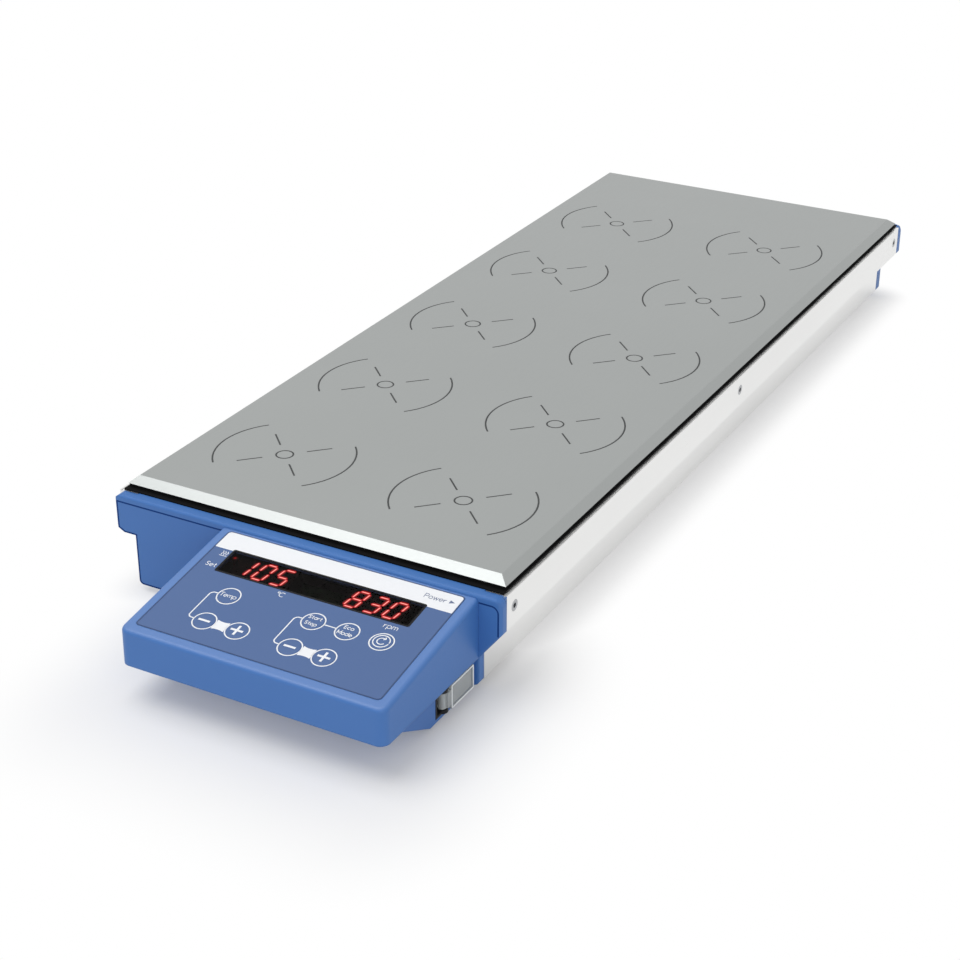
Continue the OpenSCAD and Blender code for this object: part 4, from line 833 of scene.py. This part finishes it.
arrow = np.array([(0, -ARROW_HALF), (ARROW_LONG, 0), (0, ARROW_HALF)]) + ARROW_AT
power = strokes(word("Power", 2.4), POWER_AT, INK_HIGH, 2 * INK_HIGH)
points, faces = gather(power + [slab(arrow, INK_HIGH, 2 * INK_HIGH)])
make_piece("panel_power_word", on_panel(points), faces, navy_ink, "stirrer")
print(len(white_signs), "strokes in white signs")

# %% [markdown]
# Keys
#
# A membrane key is a bubble pressed into the film. The solid key is a plain disc in a hole with running
# clearance, so a thin cap of film closes it in: a shallow dome with a rolled edge that nearly fills the
# hole. The cap is a profile turned about the key's axis, and rides on the key's body so that it can be
# pressed. Each key's word or sign is white ink on the dome.

# %% Key caps
CAP_RADIUS = 4.56
CAP_SKIRT = -0.45
CAP_CROWN = 0.16
CAP_WALL = 0.2
CAP_OVER_KEY = 0.02
SIGN_OVER_DOME = 0.01
CAP_STEPS = 48
EDGE_ROLL = 0.25
POLE = 0.02  # radius of the small flat at a turned shape's pole
BOLD_LINE, TURN_LINE = 1.05, 0.45


def turned(profile, centre):
    """A profile of (radius, height) turned about the panel's normal through a point, closed at its poles."""
    angle = np.radians(np.linspace(0, 360, CAP_STEPS, endpoint=False))
    radius, height = profile.T
    ring = np.stack([
        centre[0] + radius[:, None] * np.cos(angle),
        centre[1] + radius[:, None] * np.sin(angle),
        np.broadcast_to(height[:, None], (len(radius), CAP_STEPS)),
    ], -1)
    return tube(ring[::-1])


key_top = panel_box("key_temp")[1][2]
roll = np.radians(np.linspace(75, 0, 6))
dome_r = np.linspace(POLE, CAP_RADIUS - EDGE_ROLL, 9)
dome_top = key_top + CAP_OVER_KEY + CAP_CROWN
dome = np.column_stack([dome_r, dome_top - CAP_CROWN * (dome_r / CAP_RADIUS) ** 2])
edge = np.column_stack([np.cos(roll), np.sin(roll)]) * EDGE_ROLL + dome[-1] - (0, EDGE_ROLL)
inner = CAP_RADIUS - CAP_WALL
skirt = [(CAP_RADIUS, CAP_SKIRT), (inner, CAP_SKIRT), (inner, key_top), (POLE, key_top)]
cap_profile = np.vstack([dome, edge, skirt])
SIGN_HIGH = dome_top + SIGN_OVER_DOME

# Signs round a key's middle, in millimetres
MINUS = [[(-2.65, 0), (2.65, 0)]]
PLUS = [[(-2.8, 0), (2.8, 0)], [(0, -2.8), (0, -0.5)], [(0, 0.5), (0, 2.8)]]
TURN_BACK = [circle((0, 0), 3.4), arc((0, 0), 1.8, 60, 330), [(0.2, 1.0), (1.1, 1.6), (0.6, 2.6)]]


def two_lines(upper, lower, height, up=1.9, down=-1.7):
    """Two words, one above the other."""
    return moved(word(upper, height), (0, up)) + moved(word(lower, height), (0, down))


KEY_SIGNS = {
    "key_temp": (word("Temp", 2.2), SIGN_LINE),
    "key_start_stop": (two_lines("Start", "Stop", 1.8), SIGN_LINE),
    "key_eco": (two_lines("Eco", "Mode", 1.9), SIGN_LINE),
    "key_reverse": (TURN_BACK, TURN_LINE),
    "key_temp_minus": (MINUS, BOLD_LINE), "key_speed_minus": (MINUS, BOLD_LINE),
    "key_temp_plus": (PLUS, BOLD_LINE), "key_speed_plus": (PLUS, BOLD_LINE),
}
for name, at in key_place.items():
    points, faces = turned(cap_profile, at)
    cap = make_piece(name + "_cap", on_panel(points), faces, overlay_film, name + "_body")
    cap.data.shade_smooth()
    sign, line = KEY_SIGNS[name]
    points, faces = gather(strokes(sign, at, key_top, SIGN_HIGH, line))
    make_piece(name + "_sign", on_panel(points), faces, white_ink, name + "_body")
print(len(KEY_SIGNS), "keys with caps and signs")

# %% [markdown]
# Lit digits
#
# Each reading has three seven-segment digits. A segment is a slim bar with pointed ends, and the whole
# digit leans over. The solid's flat segments are replaced by wider ones with a grid across, so that an
# attribute can say how near a point is to the segment's middle line. The extra width carries the glow round
# the segment. A lit disc lies on the small lamp beside the left reading, red in its middle.

# %% Seven-segment digits
DIGIT_HIGH, DIGIT_WIDE, DIGIT_PITCH = 11.6, 6.5, 8.8
SEGMENT_WIDE, SEGMENT_GAP, GLOW_WIDE = 1.5, 0.1, 2.6
SLANT = math.tan(math.radians(11))
LEFT_READING_IN, RIGHT_READING_IN, READING_UP = 19.1, 19.7, 0.5
READINGS = ("105", "830")
# Segments of each numeral: top, upper right, lower right, bottom, lower left, upper left, middle
LIT = {"0": "1111110", "1": "0110000", "3": "1111001", "5": "1011011", "8": "1111111"}
ACROSS_STEPS = np.linspace(-1, 1, 13)
ALONG_STEPS = np.array([-0.97, -0.8, -0.6, -0.4, 0.0, 0.4, 0.6, 0.8, 0.97])
LENS_RADIUS = 1.1
LENS_BASE, LENS_EDGE, LENS_CROWN = 0.01, 0.05, 0.07  # heights over the lamp
LENS_CORE = 0.8  # the attribute in the lamp's middle, where a segment's is 1

reach_u, reach_v = (DIGIT_WIDE - SEGMENT_WIDE) / 2, (DIGIT_HIGH - SEGMENT_WIDE) / 2
SEGMENT_AT = [(0, reach_v, 0), (reach_u, reach_v / 2, 1), (reach_u, -reach_v / 2, 1), (0, -reach_v, 0),
              (-reach_u, -reach_v / 2, 1), (-reach_u, reach_v / 2, 1), (0, 0, 0)]
segment_low, segment_high = (corner[2] for corner in panel_box("digit_segments"))


def segment(middle, upright):
    """A pointed bar: at a share s of its half length its half width is the lesser of half the glow's
    width and what is left to the tip. The loop round a section goes over the top and back underneath.
    Returns points, faces and how near each point is to the middle line: one less its distance from it,
    in half widths of the glow, but no more than twice what is left to the tip."""
    half = (reach_v if upright else 2 * reach_u) / 2 - SEGMENT_GAP / 2
    along = half * ALONG_STEPS
    left_over = half - np.abs(along)
    wide = np.minimum(GLOW_WIDE / 2, left_over)
    share = np.concatenate([ACROSS_STEPS, ACROSS_STEPS[::-1]])
    height = np.repeat([segment_high, segment_low], len(ACROSS_STEPS))
    x = np.broadcast_to(along[:, None], (len(along), len(share)))
    y = wide[:, None] * share
    u, v = (-y, x) if upright else (x, y)
    u, v = u + middle[0], v + middle[1]
    ring = np.stack([u, v, np.broadcast_to(height, u.shape)], -1)
    near = np.minimum(1 - 2 * np.abs(y) / GLOW_WIDE, 4 * left_over[:, None] / GLOW_WIDE)
    return (*tube(ring), near.ravel())


def set_core(piece, values):
    """Stores how near each point of a piece is to the middle of its light."""
    core = piece.data.attributes.new("core", "FLOAT", "POINT")
    core.data.foreach_set("value", np.asarray(values, np.float32))


shapes, nearness = [], []
window_middle = (window_low + window_high)[:2] / 2
starts = (window_low[0] + LEFT_READING_IN, window_high[0] - RIGHT_READING_IN)
for text, start in zip(READINGS, starts):
    for place, numeral in enumerate(text):
        centre = np.array([start + (place - 1) * DIGIT_PITCH, window_middle[1] + READING_UP, 0])
        for (u, v, upright), lit in zip(SEGMENT_AT, LIT[numeral]):
            if lit == "1":
                points, faces, near = segment((u, v), upright)
                points[:, 0] += SLANT * points[:, 1]
                shapes.append((points + centre, faces))
                nearness.append(near)
points, faces = gather(shapes)
digits = make_piece("lit_digits", on_panel(points), faces, lit_red, "stirrer")
set_core(digits, np.concatenate(nearness))
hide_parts("digit_segments")

lamp_low, lamp_high = panel_box("status_lamp")
lens_profile = np.array([
    (POLE, LENS_CROWN), (LENS_RADIUS, LENS_EDGE), (LENS_RADIUS, LENS_BASE), (POLE, LENS_BASE),
]) + (0, lamp_high[2])
points, faces = turned(lens_profile, (lamp_low + lamp_high)[:2] / 2)
lens = make_piece("lit_lamp", on_panel(points), faces, lit_red, "stirrer")
set_core(lens, np.repeat([LENS_CORE, 0, 0, LENS_CORE], CAP_STEPS))
print(len(shapes), "lit segments and a lamp")

# %% [markdown]
# Painted shade of a groove on the cap, and painted light on the flap's rim
#
# Two more outlines catch the eye. A fine dark line of painted shade stands for a groove round the outer
# face of the front cap, close to its edge and a little further below its top, except where the console
# covers it. The cap's own corner points give its course. The switch's clear flap has a rim of painted
# light, pale because light that enters a clear moulding leaves it at its edges.

# %% Painted groove shade on the cap and painted light on the flap rim
GROOVE_SHADE_LINE = 0.7
GROOVE_IN = 0.4
GROOVE_DOWN = 3.3
GROOVE_CORNER = 3.0
GROOVE_CLEAR = 1.0  # a corner of the cap this near the groove's start isn't part of its course
CONSOLE_CLEAR = 0.1  # nor is one this near the console
RIM_LINE = 0.7
RIM_HIGH = 0.12
CLOSE = 0.01 * MM

cap_low, cap_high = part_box("front_end_cap")
console_low, console_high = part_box("console_shell")
cap_points = points_of("front_end_cap")
on_face = np.abs(cap_points[:, 1] - cap_low.y) < CLOSE
face = np.unique((cap_points[on_face][:, [0, 2]] / MM).round(3), axis=0)
top = cap_high.z / MM - GROOVE_DOWN


def side_course(points, inwards):
    """Corner points of one side of the face from top to bottom, moved in from the edge and up."""
    down = points[np.lexsort((inwards * points[:, 0], -points[:, 1]))]
    return down + (inwards * GROOVE_IN, GROOVE_IN)


beside_left = face[:, 0] < console_low.x / MM - CONSOLE_CLEAR
beside_right = face[:, 0] > console_high.x / MM + CONSOLE_CLEAR
at_left = side_course(face[beside_left & (face[:, 1] < top - GROOVE_CLEAR)], 1)
at_right = side_course(face[beside_right & (face[:, 1] < top - GROOVE_CORNER - GROOVE_CLEAR)], -1)
left_path = np.vstack([[(console_low.x / MM, top), (at_left[0, 0], top)], at_left,
                       [(console_low.x / MM, at_left[-1, 1])]])
right_path = np.vstack([[(console_high.x / MM, top)],
                        arc((at_right[0, 0] - GROOVE_CORNER, top - GROOVE_CORNER), GROOVE_CORNER, 90, 0),
                        at_right])
# Painted shade: the dark line stands for the shade in a groove round the cap's face
points, faces = gather([bar(path, GROOVE_SHADE_LINE, INK_LOW, INK_HIGH) for path in (left_path, right_path)])
make_piece("cap_painted_groove_shade", laid(points, (0, cap_low.y, 0), (1, 0, 0), (0, 0, 1)), faces,
           plain["painted_groove_shade"], "stirrer")

flap_low, flap_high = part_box("switch_flap")
flap_points = points_of("switch_flap")
on_edge = (np.abs(flap_points[:, [0, 2]] - (flap_high.x, flap_low.z)) < CLOSE).all(1)
flap_from, flap_to = flap_points[on_edge, 1].min(), flap_points[on_edge, 1].max()
flap_long, flap_tall = (flap_to - flap_from) / MM, (flap_high.z - flap_low.z) / MM
half = RIM_LINE / 2
rim_path = rounded_loop(flap_long / 2 - half, half, flap_tall - half, half)
points, faces = bar(rim_path, RIM_LINE, INK_LOW, RIM_HIGH, closed=True)
rim_origin = (flap_high.x, (flap_from + flap_to) / 2, flap_low.z)
# Painted light: a pale line along the flap's rim
make_piece("flap_rim_painted_light", laid(points, rim_origin, (0, 1, 0), (0, 0, 1)), faces, plain["painted_clear_edge_light"],
           "flap")
print("groove", GROOVE_DOWN, "mm below the cap's top; flap face", round(flap_long, 1), "mm long")
